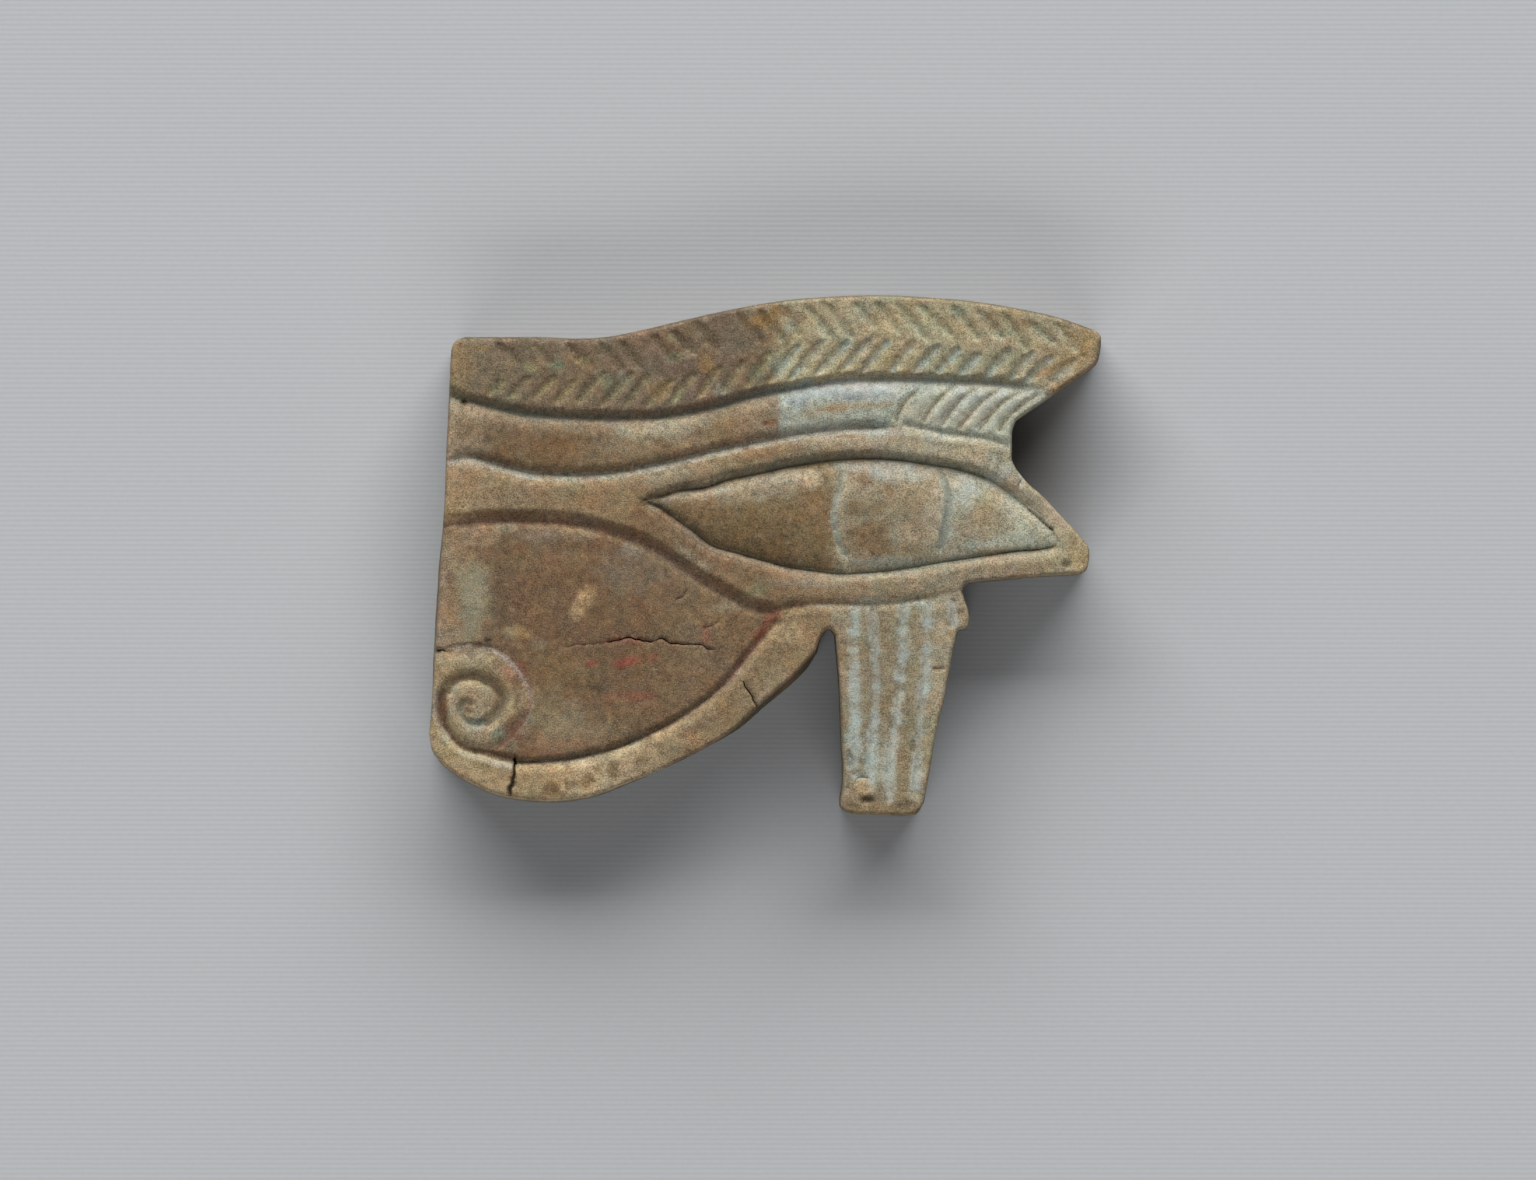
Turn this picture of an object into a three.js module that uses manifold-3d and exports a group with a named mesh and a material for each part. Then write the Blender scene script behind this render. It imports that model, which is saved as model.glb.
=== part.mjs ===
// Wedjat eye amulet of Egyptian faience: one moulded and carved quartz-paste body that lies
// on its flat back, with what is left of its glaze and red pigment in the sunk lines.
// Millimetres. +X runs to the viewer's right, +Y to the top of the brow, +Z out of the carved
// face. The origin is the middle of the back face's bounding rectangle.
import * as THREE from "three";
import { mergeVertices } from "three/addons/utils/BufferGeometryUtils.js";
import Module from "manifold-3d";

const wasm = await Module();
wasm.setup();

// Driving dimensions
const WIDTH = 67.4;
const HEIGHT = 52.3;
const THICKNESS = 9;
const EDGE_ROUNDING = 0.5;

// Stringing hole, drawn lengthwise through the paste from the left side to the notch
const BORE_DIAMETER = 2;
const boreHeightShare = 0.711;
const boreDepthShare = 0.5;

// Deep lines that part the brow, the band, the lids and the cheek
const DEEP_LINE_WIDTH = 0.95;
const DEEP_LINE_FLOOR_WIDTH = 0.6;
const DEEP_LINE_DEPTH = 0.9;
const SHOULDER_WIDTH = 2.4;
const SHOULDER_DEPTH = 0.3;

// Shallow line where the leg starts under the lower lid
const UNDER_LID_WIDTH = 0.7;
const UNDER_LID_FLOOR_WIDTH = 0.3;
const UNDER_LID_DEPTH = 0.35;

// Eyeball, a pillow that stands in the almond between the lids
const EYEBALL_CREST_DROP = 0.05;
const IRIS_LINE_WIDTH = 0.6;
const IRIS_LINE_FLOOR_WIDTH = 0.5;
const IRIS_LINE_DEPTH = 0.35;

// Cheek, a low pillow inside its border line
const CHEEK_DROP = 0.2;
const CHEEK_ROUNDING = 0.5;

// Lines of the curl at the end of the cheek's border
const CURL_LINE_WIDTH = 0.8;
const CURL_LINE_FLOOR_WIDTH = 0.5;
const CURL_LINE_DEPTH = 0.7;

// Lines that run down the leg below the eye
const LEG_LINE_WIDTH = 0.85;
const LEG_LINE_FLOOR_WIDTH = 0.55;
const LEG_LINE_DEPTH = 0.6;

// Slanted lines at the right end of the band, with glazed bars between them
const FEATHER_LINE_WIDTH = 0.7;
const FEATHER_LINE_FLOOR_WIDTH = 0.35;
const FEATHER_LINE_DEPTH = 0.5;
const FEATHER_BED_WIDTH = 0.85;

// Chisel strokes that make the brow's herringbone
const STROKE_PITCH = 2.44;
const STROKE_RUN = 2.3;
const STROKE_RISE = 3.15;
const STROKE_WIDTH = 0.8;
const STROKE_DEPTH = 0.4;

// Beds of the wide glaze patches
const BAND_BED_WIDTH = 1.8;
const SCLERA_BED_WIDTH = 1.6;
const CHEEK_BED_WIDTH = 2.6;
const PATCH_DEPTH = 0.25;
const SCLERA_PATCH_DEPTH = 0.45;

// Remains of glaze and pigment: how far they stay clear of the walls, and how high they stand
const FILL_CLEARANCE = 0.1;
const DEEP_FILL_HEIGHT = 0.35;
const IRIS_FILL_HEIGHT = 0.2;
const CURL_FILL_HEIGHT = 0.3;
const LEG_FILL_HEIGHT = 0.45;
const PIGMENT_HEIGHT = 0.2;

// Facets: the length of one step along a line, and how far a cutting tool overruns the face
const FACET_LENGTH = 1.6;
const OVERRUN = 0.5;
const outlineDivisions = 2;
const edgeSegments = 2;
const boreSides = 20;
const eyeballStations = 30;
const eyeballArcs = 9;
const lineSamples = 240;
const mergeTolerance = 1e-4;

// Outline, clockwise from the upper left corner, as shares of the width and the height
const topEdgeShares = [
  [0.055, 0.92], [0.107, 0.92], [0.166, 0.92], [0.225, 0.917], [0.273, 0.922], [0.316, 0.932],
  [0.375, 0.951], [0.433, 0.968], [0.492, 0.983], [0.552, 0.993], [0.611, 0.998], [0.671, 1],
  [0.73, 0.997], [0.789, 0.991], [0.849, 0.981], [0.901, 0.968], [0.939, 0.956], [0.983, 0.936],
];
const browTipShares = [
  [0.983, 0.936], [0.994, 0.929], [0.999, 0.922], [1, 0.909], [0.999, 0.889], [0.994, 0.868],
  [0.975, 0.847],
];
const underBrowTipShares = [
  [0.975, 0.847], [0.948, 0.823], [0.92, 0.797], [0.892, 0.773], [0.874, 0.757],
];
const notchShares = [
  [0.874, 0.757], [0.868, 0.738], [0.868, 0.708], [0.868, 0.683], [0.874, 0.665],
];
const overEyeTipShares = [
  [0.874, 0.665], [0.892, 0.639], [0.912, 0.616], [0.936, 0.584], [0.967, 0.541],
];
const eyeTipShares = [
  [0.967, 0.541], [0.981, 0.518], [0.983, 0.501], [0.978, 0.472], [0.97, 0.464], [0.96, 0.462],
];
const underEyeTipShares = [
  [0.96, 0.462], [0.901, 0.457], [0.848, 0.451], [0.803, 0.446],
];
const legStepShares = [
  [0.803, 0.446], [0.795, 0.434], [0.797, 0.421], [0.805, 0.386], [0.802, 0.361], [0.788, 0.355],
];
const legRightShares = [
  [0.788, 0.355], [0.779, 0.31], [0.768, 0.226], [0.753, 0.147], [0.744, 0.073], [0.737, 0.027],
];
const legFootShares = [
  [0.737, 0.027], [0.726, 0.004], [0.708, 0], [0.657, 0.002], [0.629, 0.004], [0.612, 0.015],
  [0.61, 0.032],
];
const legLeftShares = [
  [0.61, 0.032], [0.614, 0.071], [0.612, 0.147], [0.609, 0.239], [0.606, 0.3], [0.602, 0.346],
];
const cheekNotchShares = [
  [0.602, 0.346], [0.595, 0.358], [0.585, 0.344], [0.577, 0.315],
];
const cheekEdgeShares = [
  [0.577, 0.315], [0.544, 0.27], [0.497, 0.216], [0.455, 0.165], [0.405, 0.126], [0.346, 0.088],
  [0.295, 0.062], [0.243, 0.037], [0.188, 0.028], [0.127, 0.033], [0.091, 0.045], [0.049, 0.073],
  [0.02, 0.097],
];
const lowerCornerShares = [
  [0.02, 0.097], [0.005, 0.126], [0, 0.159],
];
const leftEdgeShares = [
  [0, 0.159], [0.004, 0.226], [0.009, 0.317], [0.015, 0.456], [0.021, 0.566], [0.024, 0.656],
  [0.027, 0.742], [0.032, 0.878],
];
const upperCornerShares = [
  [0.032, 0.878], [0.034, 0.899], [0.04, 0.911], [0.055, 0.92],
];
const outlineStretchesShares = [
  topEdgeShares,
  browTipShares,
  underBrowTipShares,
  notchShares,
  overEyeTipShares,
  eyeTipShares,
  underEyeTipShares,
  legStepShares,
  legRightShares,
  legFootShares,
  legLeftShares,
  cheekNotchShares,
  cheekEdgeShares,
  lowerCornerShares,
  leftEdgeShares,
  upperCornerShares,
];

// Lines of the relief, as shares of the width and the height
const browGrooveShares = [
  [0.012, 0.822], [0.045, 0.806], [0.077, 0.795], [0.121, 0.78], [0.182, 0.77], [0.255, 0.767],
  [0.316, 0.767], [0.375, 0.774], [0.433, 0.791], [0.492, 0.812], [0.552, 0.826], [0.611, 0.838],
  [0.671, 0.841], [0.76, 0.839], [0.849, 0.832], [0.917, 0.82],
];
const browMidShares = [
  [0.071, 0.851], [0.107, 0.851], [0.196, 0.855], [0.285, 0.864], [0.374, 0.88], [0.463, 0.899],
  [0.522, 0.908], [0.641, 0.912], [0.76, 0.91], [0.849, 0.901], [0.923, 0.887],
];
const lidGrooveShares = [
  [0.009, 0.685], [0.062, 0.692], [0.107, 0.677], [0.151, 0.662], [0.197, 0.659], [0.255, 0.661],
  [0.316, 0.671], [0.375, 0.687], [0.433, 0.706], [0.492, 0.723], [0.552, 0.738], [0.611, 0.747],
  [0.671, 0.75], [0.697, 0.754],
];
const eyeUpperShares = [
  [0.317, 0.61], [0.342, 0.615], [0.376, 0.627], [0.411, 0.634], [0.445, 0.649], [0.481, 0.658],
  [0.513, 0.667], [0.547, 0.676], [0.581, 0.683], [0.635, 0.688], [0.688, 0.688], [0.742, 0.678],
  [0.795, 0.666], [0.835, 0.647], [0.869, 0.618], [0.898, 0.587], [0.923, 0.559], [0.941, 0.528],
];
const eyeLowerShares = [
  [0.317, 0.61], [0.344, 0.597], [0.367, 0.577], [0.394, 0.551], [0.421, 0.524], [0.458, 0.509],
  [0.495, 0.496], [0.531, 0.483], [0.581, 0.473], [0.608, 0.469], [0.662, 0.472], [0.715, 0.481],
  [0.768, 0.493], [0.821, 0.503], [0.875, 0.513], [0.917, 0.519], [0.941, 0.528],
];
const underLidShares = [
  [0.531, 0.405], [0.559, 0.414], [0.611, 0.415], [0.671, 0.413], [0.73, 0.423], [0.786, 0.437],
];
const irisLeftShares = [
  [0.62, 0.667], [0.61, 0.625], [0.605, 0.6], [0.603, 0.577], [0.604, 0.556], [0.613, 0.514],
  [0.626, 0.491],
];
const irisRightShares = [
  [0.755, 0.66], [0.763, 0.652], [0.769, 0.631], [0.772, 0.608], [0.772, 0.583], [0.768, 0.56],
  [0.76, 0.514], [0.754, 0.501],
];
const scleraGlazeShares = [
  [0.792, 0.633], [0.797, 0.597], [0.794, 0.533],
];
const bandGlazeShares = [
  [0.528, 0.805], [0.552, 0.809], [0.596, 0.815], [0.641, 0.818], [0.671, 0.818], [0.7, 0.817],
];
const cheekUpperShares = [
  [-0.024, 0.56], [0.003, 0.566], [0.047, 0.574], [0.107, 0.583], [0.166, 0.581], [0.225, 0.572],
  [0.27, 0.558], [0.314, 0.537], [0.344, 0.52], [0.375, 0.489], [0.405, 0.459], [0.438, 0.434],
  [0.467, 0.413], [0.497, 0.399], [0.521, 0.396],
];
const cheekLowerShares = [
  [0.521, 0.396], [0.497, 0.359], [0.472, 0.312], [0.439, 0.265], [0.408, 0.226], [0.366, 0.19],
  [0.322, 0.159], [0.274, 0.135], [0.227, 0.117], [0.168, 0.102], [0.13, 0.105],
];
const cheekGlazeShares = [
  [0.068, 0.453], [0.062, 0.415], [0.056, 0.346],
];
const spiralOuterShares = [
  [-0.024, 0.308], [-0.006, 0.314], [0.032, 0.321], [0.064, 0.329], [0.098, 0.317], [0.127, 0.291],
  [0.144, 0.265], [0.15, 0.234], [0.146, 0.203], [0.134, 0.17], [0.115, 0.143], [0.095, 0.128],
  [0.071, 0.124],
];
const spiralMiddleShares = [
  [0.023, 0.248], [0.035, 0.265], [0.052, 0.277], [0.069, 0.279], [0.087, 0.273], [0.107, 0.249],
  [0.114, 0.227], [0.108, 0.203], [0.093, 0.187], [0.075, 0.181],
];
const spiralInnerShares = [
  [0.047, 0.21], [0.053, 0.221], [0.062, 0.222], [0.07, 0.212],
];
const spiralTurnShares = [
  [0.024, 0.226], [0.023, 0.199], [0.032, 0.166], [0.045, 0.145], [0.062, 0.128],
];
const featherShares = [
  [
    [0.696, 0.752], [0.708, 0.782], [0.722, 0.803], [0.745, 0.828],
  ],
  [
    [0.73, 0.75], [0.745, 0.782], [0.763, 0.805], [0.783, 0.826],
  ],
  [
    [0.761, 0.746], [0.774, 0.771], [0.792, 0.797], [0.813, 0.824],
  ],
  [
    [0.789, 0.74], [0.807, 0.769], [0.826, 0.794], [0.85, 0.82],
  ],
  [
    [0.816, 0.736], [0.837, 0.763], [0.856, 0.786], [0.881, 0.815],
  ],
  [
    [0.84, 0.732], [0.86, 0.763], [0.881, 0.788], [0.908, 0.815],
  ],
];
const legShares = [
  [
    [0.632, 0.409], [0.63, 0.338], [0.63, 0.281], [0.633, 0.185], [0.635, 0.099],
  ],
  [
    [0.662, 0.409], [0.665, 0.319], [0.665, 0.224], [0.659, 0.147], [0.656, 0.038],
  ],
  [
    [0.703, 0.413], [0.702, 0.338], [0.699, 0.262], [0.693, 0.185], [0.684, 0.023],
  ],
  [
    [0.74, 0.419], [0.74, 0.338], [0.737, 0.262], [0.731, 0.185], [0.721, 0.032],
  ],
  [
    [0.779, 0.415], [0.776, 0.361],
  ],
];

// Parts of a line, from its start, that a remain of glaze or pigment covers
const browFillShares = [0.035, 0.985];
const lidFillShares = [0.035, 0.985];
const eyeFillShares = [0.04, 0.93];
const irisFillShares = [0.2, 0.8];
const cheekUpperFillShares = [0.1, 0.93];
const cheekLowerFillShares = [0.08, 0.95];
const curlFillShares = [0.22, 0.86];
const legFillShares = [0.04, 0.95];
const patchFillShares = [0.06, 0.94];
// Part of the curl's outer line that bounds the cheek, and the brow's height that strokes span
const cheekCurlShare = 0.86;
const upperStrokeShare = 0.8;
const strokeGapShare = 0.1;

const FACE = THICKNESS;

// Basic shapes

function placed([x, y]) {
  return new THREE.Vector3((x - 0.5) * WIDTH, (y - 0.5) * HEIGHT, 0);
}

function lineThrough(shares) {
  return new THREE.CatmullRomCurve3(shares.map(placed), false, "centripetal");
}

function solid(geometry) {
  geometry.deleteAttribute("normal");
  geometry.deleteAttribute("uv");
  const merged = mergeVertices(geometry, mergeTolerance);
  const mesh = new wasm.Mesh({
    numProp: 3,
    vertProperties: merged.attributes.position.array,
    triVerts: Uint32Array.from(merged.index.array),
  });
  return new wasm.Manifold(mesh);
}

function geometryOf(body) {
  const mesh = body.getMesh();
  const geometry = new THREE.BufferGeometry();
  geometry.setAttribute("position", new THREE.BufferAttribute(mesh.vertProperties, 3));
  geometry.setIndex(new THREE.BufferAttribute(mesh.triVerts, 1));
  geometry.computeVertexNormals();
  return geometry;
}

// A closed body through rings of equally many points, each ring a convex loop
function loft(rings) {
  const size = rings[0].length;
  const faces = [];
  for (let ring = 0; ring + 1 < rings.length; ring += 1) {
    for (let corner = 0; corner < size; corner += 1) {
      const here = ring * size + corner;
      const next = ring * size + ((corner + 1) % size);
      faces.push(here, next + size, next, here, here + size, next + size);
    }
  }
  const last = (rings.length - 1) * size;
  for (let corner = 1; corner + 1 < size; corner += 1) {
    faces.push(0, corner, corner + 1);
    faces.push(last, last + corner + 1, last + corner);
  }
  const geometry = new THREE.BufferGeometry().setFromPoints(rings.flat());
  geometry.setIndex(faces);
  return geometry;
}

// A bar along a line, with sloping sides between its floor and its top
function bar(line, [start, end], floor, floorWidth, top, topWidth) {
  const steps = Math.max(2, Math.ceil((line.getLength() * (end - start)) / FACET_LENGTH));
  const rings = [];
  for (let step = 0; step <= steps; step += 1) {
    const share = start + ((end - start) * step) / steps;
    const centre = line.getPointAt(share);
    const along = line.getTangentAt(share);
    const side = new THREE.Vector3(-along.y, along.x, 0);
    const corner = (offset, z) => centre.clone().addScaledVector(side, offset).setZ(z);
    rings.push([
      corner(topWidth / 2, top),
      corner(floorWidth / 2, floor),
      corner(-floorWidth / 2, floor),
      corner(-topWidth / 2, top),
    ]);
  }
  return loft(rings);
}

// The tool that sinks a line: its sides keep their slope up through the overrun
function sunkLine(shares, width, floorWidth, depth) {
  const slope = (width - floorWidth) / depth;
  const topWidth = width + slope * OVERRUN;
  const whole = [0, 1];
  const floor = FACE - depth;
  return solid(bar(lineThrough(shares), whole, floor, floorWidth, FACE + OVERRUN, topWidth));
}

// What is left in a sunk line: it lies on the floor and stays clear of the walls
function fill(shares, extent, floorWidth, depth, height) {
  const floor = FACE - depth;
  const width = floorWidth - 2 * FILL_CLEARANCE;
  return bar(lineThrough(shares), extent, floor, width, floor + height, width);
}

function heightAt(line, x) {
  const points = line.getPoints(lineSamples);
  const after = points.findIndex((point) => point.x >= x);
  if (after <= 0) return points.at(after).y;
  const [a, b] = [points[after - 1], points[after]];
  return a.y + ((b.y - a.y) * (x - a.x)) / (b.x - a.x);
}

function stepped(line, [start, end] = [0, 1]) {
  const steps = Math.ceil((line.getLength() * (end - start)) / FACET_LENGTH);
  const points = [];
  for (let step = 0; step <= steps; step += 1) {
    points.push(line.getPointAt(start + ((end - start) * step) / steps));
  }
  return points;
}

// A flat prism with an upright side, over points that go round once
function prism(points, floor, top) {
  const shape = new THREE.Shape(points.map((point) => new THREE.Vector2(point.x, point.y)));
  const geometry = new THREE.ExtrudeGeometry(shape, { depth: top - floor, bevelEnabled: false });
  return solid(geometry.translate(0, 0, floor));
}

// Body

function outlinePoints() {
  const path = new THREE.Path();
  const corners = outlineStretchesShares.map((stretch) =>
    stretch.map(([x, y]) => new THREE.Vector2(x * WIDTH, y * HEIGHT)),
  );
  path.moveTo(corners[0][0].x, corners[0][0].y);
  for (const stretch of corners) path.splineThru(stretch.slice(1));
  const points = path.getPoints(outlineDivisions);
  const closing = points.at(-1).distanceTo(points[0]);
  if (closing < EDGE_ROUNDING) points.pop();
  const box = new THREE.Box2().setFromPoints(points);
  const size = box.getSize(new THREE.Vector2());
  const middle = box.getCenter(new THREE.Vector2());
  const fit = new THREE.Vector2(WIDTH / size.x, HEIGHT / size.y);
  return points.map((point) => point.sub(middle).multiply(fit));
}

function slab() {
  const geometry = new THREE.ExtrudeGeometry(new THREE.Shape(outlinePoints()), {
    depth: THICKNESS - 2 * EDGE_ROUNDING,
    bevelThickness: EDGE_ROUNDING,
    bevelSize: EDGE_ROUNDING,
    bevelOffset: -EDGE_ROUNDING,
    bevelSegments: edgeSegments,
  });
  return solid(geometry.translate(0, 0, EDGE_ROUNDING));
}

function bore() {
  const length = WIDTH + 2 * OVERRUN;
  const radius = BORE_DIAMETER / 2;
  const geometry = new THREE.CylinderGeometry(radius, radius, length, boreSides);
  geometry.rotateZ(Math.PI / 2);
  geometry.translate(0, (boreHeightShare - 0.5) * HEIGHT, boreDepthShare * THICKNESS);
  return solid(geometry);
}

function deepLine(shares) {
  return sunkLine(shares, DEEP_LINE_WIDTH, DEEP_LINE_FLOOR_WIDTH, DEEP_LINE_DEPTH);
}

// The eyeball rises from the floor of its almond in an arch over each upright section
function eyeball() {
  const upper = lineThrough(eyeUpperShares);
  const lower = lineThrough(eyeLowerShares);
  const floor = FACE - DEEP_LINE_DEPTH;
  const start = placed(eyeUpperShares[0]).x;
  const end = placed(eyeUpperShares.at(-1)).x;
  const sections = [];
  for (let station = 1; station < eyeballStations; station += 1) {
    const x = start + ((end - start) * station) / eyeballStations;
    const top = heightAt(upper, x) - DEEP_LINE_FLOOR_WIDTH / 2;
    const bottom = heightAt(lower, x) + DEEP_LINE_FLOOR_WIDTH / 2;
    if (top > bottom) sections.push({ x, top, bottom });
  }
  const widest = Math.max(...sections.map(({ top, bottom }) => top - bottom));
  const rings = sections.map(({ x, top, bottom }) => {
    const fullness = Math.sqrt((top - bottom) / widest);
    const rise = (DEEP_LINE_DEPTH - EYEBALL_CREST_DROP) * fullness;
    const ring = [
      new THREE.Vector3(x, top, floor - OVERRUN),
      new THREE.Vector3(x, bottom, floor - OVERRUN),
    ];
    for (let arc = 0; arc <= eyeballArcs; arc += 1) {
      const turn = (Math.PI * arc) / eyeballArcs;
      const y = (top + bottom) / 2 - (Math.cos(turn) * (top - bottom)) / 2;
      ring.push(new THREE.Vector3(x, y, floor + rise * Math.sqrt(Math.sin(turn))));
    }
    return ring;
  });
  return solid(loft(rings));
}

function eyeRecess() {
  const upper = stepped(lineThrough(eyeUpperShares));
  const lower = stepped(lineThrough(eyeLowerShares)).reverse();
  const rim = [...upper, ...lower.slice(1, -1)];
  const almond = prism(rim, FACE - DEEP_LINE_DEPTH, FACE + OVERRUN);
  return almond.add(deepLine(eyeUpperShares)).add(deepLine(eyeLowerShares)).subtract(eyeball());
}

// The cheek lies a little below the face and slopes down to its border line
function cheekRecess() {
  const borders = [cheekUpperShares, cheekLowerShares, spiralOuterShares];
  const rim = [
    ...stepped(lineThrough(cheekUpperShares)),
    ...stepped(lineThrough(cheekLowerShares)).slice(1),
    ...stepped(lineThrough(spiralOuterShares), [0, cheekCurlShare]).reverse(),
  ];
  const top = FACE + OVERRUN;
  const level = prism(rim, FACE - CHEEK_DROP, top);
  const slopes = borders.map((shares) => {
    const floor = FACE - CHEEK_DROP - CHEEK_ROUNDING;
    const topWidth = DEEP_LINE_WIDTH + 2 * (top - floor);
    return solid(bar(lineThrough(shares), [0, 1], floor, DEEP_LINE_WIDTH, top, topWidth));
  });
  const slope = wasm.Manifold.union(slopes).intersect(prism(rim, FACE - DEEP_LINE_DEPTH, top));
  return wasm.Manifold.union([level, slope, ...borders.map(deepLine)]);
}

// One chisel stroke: a long pointed leaf, deepest in its middle
function stroke(x, y, lean) {
  const leaf = new THREE.OctahedronGeometry(1);
  leaf.scale(Math.hypot(STROKE_RUN, STROKE_RISE) / 2, STROKE_WIDTH / 2, STROKE_DEPTH);
  leaf.rotateZ(lean);
  leaf.translate(x, y, FACE);
  return solid(leaf);
}

function herringbone() {
  const middle = lineThrough(browMidShares);
  const top = lineThrough(topEdgeShares);
  const lean = Math.atan2(STROKE_RISE, STROKE_RUN);
  const reach = STROKE_RISE * (0.5 + strokeGapShare);
  const start = placed(browMidShares[0]).x;
  const end = placed(browMidShares.at(-1)).x - STROKE_RUN;
  const strokes = [];
  for (let x = start; x < end; x += STROKE_PITCH) {
    const mid = heightAt(middle, x);
    const room = (heightAt(top, x) - mid) * upperStrokeShare;
    strokes.push(stroke(x, mid + Math.min(room - STROKE_RISE / 2, reach), -lean));
    strokes.push(stroke(x + STROKE_PITCH / 2, mid - reach, lean));
  }
  return strokes;
}

function featherBeds() {
  const beds = [];
  for (let first = 0; first + 1 < featherShares.length; first += 1) {
    const [left, right] = [featherShares[first], featherShares[first + 1]];
    beds.push(left.map(([x, y], index) => [(x + right[index][0]) / 2, (y + right[index][1]) / 2]));
  }
  return beds;
}

// The bars on both sides of a deep line are rounded off towards it
function shoulder(shares) {
  return sunkLine(shares, SHOULDER_WIDTH, DEEP_LINE_WIDTH, SHOULDER_DEPTH);
}

function bed(shares, width, depth) {
  return sunkLine(shares, width, width, depth);
}

function faienceBody() {
  const curl = (shares) =>
    sunkLine(shares, CURL_LINE_WIDTH, CURL_LINE_FLOOR_WIDTH, CURL_LINE_DEPTH);
  const iris = (shares) =>
    sunkLine(shares, IRIS_LINE_WIDTH, IRIS_LINE_FLOOR_WIDTH, IRIS_LINE_DEPTH);
  const leg = (shares) => sunkLine(shares, LEG_LINE_WIDTH, LEG_LINE_FLOOR_WIDTH, LEG_LINE_DEPTH);
  const feather = (shares) =>
    sunkLine(shares, FEATHER_LINE_WIDTH, FEATHER_LINE_FLOOR_WIDTH, FEATHER_LINE_DEPTH);
  const cuts = [
    bore(),
    ...[browGrooveShares, lidGrooveShares].map(deepLine),
    ...[browGrooveShares, lidGrooveShares, eyeUpperShares, eyeLowerShares].map(shoulder),
    eyeRecess(),
    cheekRecess(),
    sunkLine(underLidShares, UNDER_LID_WIDTH, UNDER_LID_FLOOR_WIDTH, UNDER_LID_DEPTH),
    ...[irisLeftShares, irisRightShares].map(iris),
    ...[spiralMiddleShares, spiralInnerShares, spiralTurnShares].map(curl),
    ...legShares.map(leg),
    ...featherShares.map(feather),
    ...featherBeds().map((shares) => bed(shares, FEATHER_BED_WIDTH, PATCH_DEPTH)),
    bed(bandGlazeShares, BAND_BED_WIDTH, PATCH_DEPTH),
    bed(scleraGlazeShares, SCLERA_BED_WIDTH, SCLERA_PATCH_DEPTH),
    bed(cheekGlazeShares, CHEEK_BED_WIDTH, CHEEK_DROP + PATCH_DEPTH),
    ...herringbone(),
  ];
  return geometryOf(slab().subtract(wasm.Manifold.union(cuts)));
}

// Materials

function finish(color, roughness) {
  return new THREE.MeshStandardMaterial({ color, roughness, metalness: 0 });
}

const finishes = {
  faience: finish(0x8f7c5e, 0.85),
  paleGlaze: finish(0xa9b3ad, 0.45),
  greenGlaze: finish(0x7f9186, 0.5),
  darkGlaze: finish(0x59605c, 0.5),
  redPigment: finish(0x7d4a3e, 0.9),
};

// Assembly

const amulet = new THREE.Group();

function addPiece(name, geometry, material) {
  const piece = new THREE.Mesh(geometry, material);
  piece.name = name;
  amulet.add(piece);
}

function addDeepFill(name, shares, extent, height, material) {
  addPiece(name, fill(shares, extent, DEEP_LINE_FLOOR_WIDTH, DEEP_LINE_DEPTH, height), material);
}

function addPatch(name, shares, width, depth, height) {
  addPiece(name, fill(shares, patchFillShares, width, depth, height), finishes.paleGlaze);
}

addPiece("faience_body", faienceBody(), finishes.faience);
addDeepFill("brow_line_glaze", browGrooveShares, browFillShares, DEEP_FILL_HEIGHT, finishes.darkGlaze);
addDeepFill("band_line_glaze", lidGrooveShares, lidFillShares, DEEP_FILL_HEIGHT, finishes.darkGlaze);
addDeepFill("eye_upper_glaze", eyeUpperShares, eyeFillShares, DEEP_FILL_HEIGHT, finishes.greenGlaze);
addDeepFill("eye_lower_glaze", eyeLowerShares, eyeFillShares, DEEP_FILL_HEIGHT, finishes.greenGlaze);
addDeepFill(
  "cheek_upper_pigment",
  cheekUpperShares,
  cheekUpperFillShares,
  PIGMENT_HEIGHT,
  finishes.redPigment,
);
addDeepFill(
  "cheek_lower_pigment",
  cheekLowerShares,
  cheekLowerFillShares,
  PIGMENT_HEIGHT,
  finishes.redPigment,
);
addDeepFill("curl_pigment", spiralOuterShares, curlFillShares, PIGMENT_HEIGHT, finishes.redPigment);
addPiece(
  "curl_glaze",
  fill(
    spiralMiddleShares,
    legFillShares,
    CURL_LINE_FLOOR_WIDTH,
    CURL_LINE_DEPTH,
    CURL_FILL_HEIGHT,
  ),
  finishes.greenGlaze,
);
[irisLeftShares, irisRightShares].forEach((shares, index) => {
  addPiece(
    ["iris_left_glaze", "iris_right_glaze"][index],
    fill(shares, irisFillShares, IRIS_LINE_FLOOR_WIDTH, IRIS_LINE_DEPTH, IRIS_FILL_HEIGHT),
    finishes.greenGlaze,
  );
});
addPatch("eye_white_glaze", scleraGlazeShares, SCLERA_BED_WIDTH, SCLERA_PATCH_DEPTH, PATCH_DEPTH);
addPatch("band_glaze", bandGlazeShares, BAND_BED_WIDTH, PATCH_DEPTH, PATCH_DEPTH);
addPatch(
  "cheek_glaze",
  cheekGlazeShares,
  CHEEK_BED_WIDTH,
  CHEEK_DROP + PATCH_DEPTH,
  PATCH_DEPTH,
);
featherBeds().forEach((shares, index) => {
  addPatch("feather_glaze_" + (index + 1), shares, FEATHER_BED_WIDTH, PATCH_DEPTH, PATCH_DEPTH);
});
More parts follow.
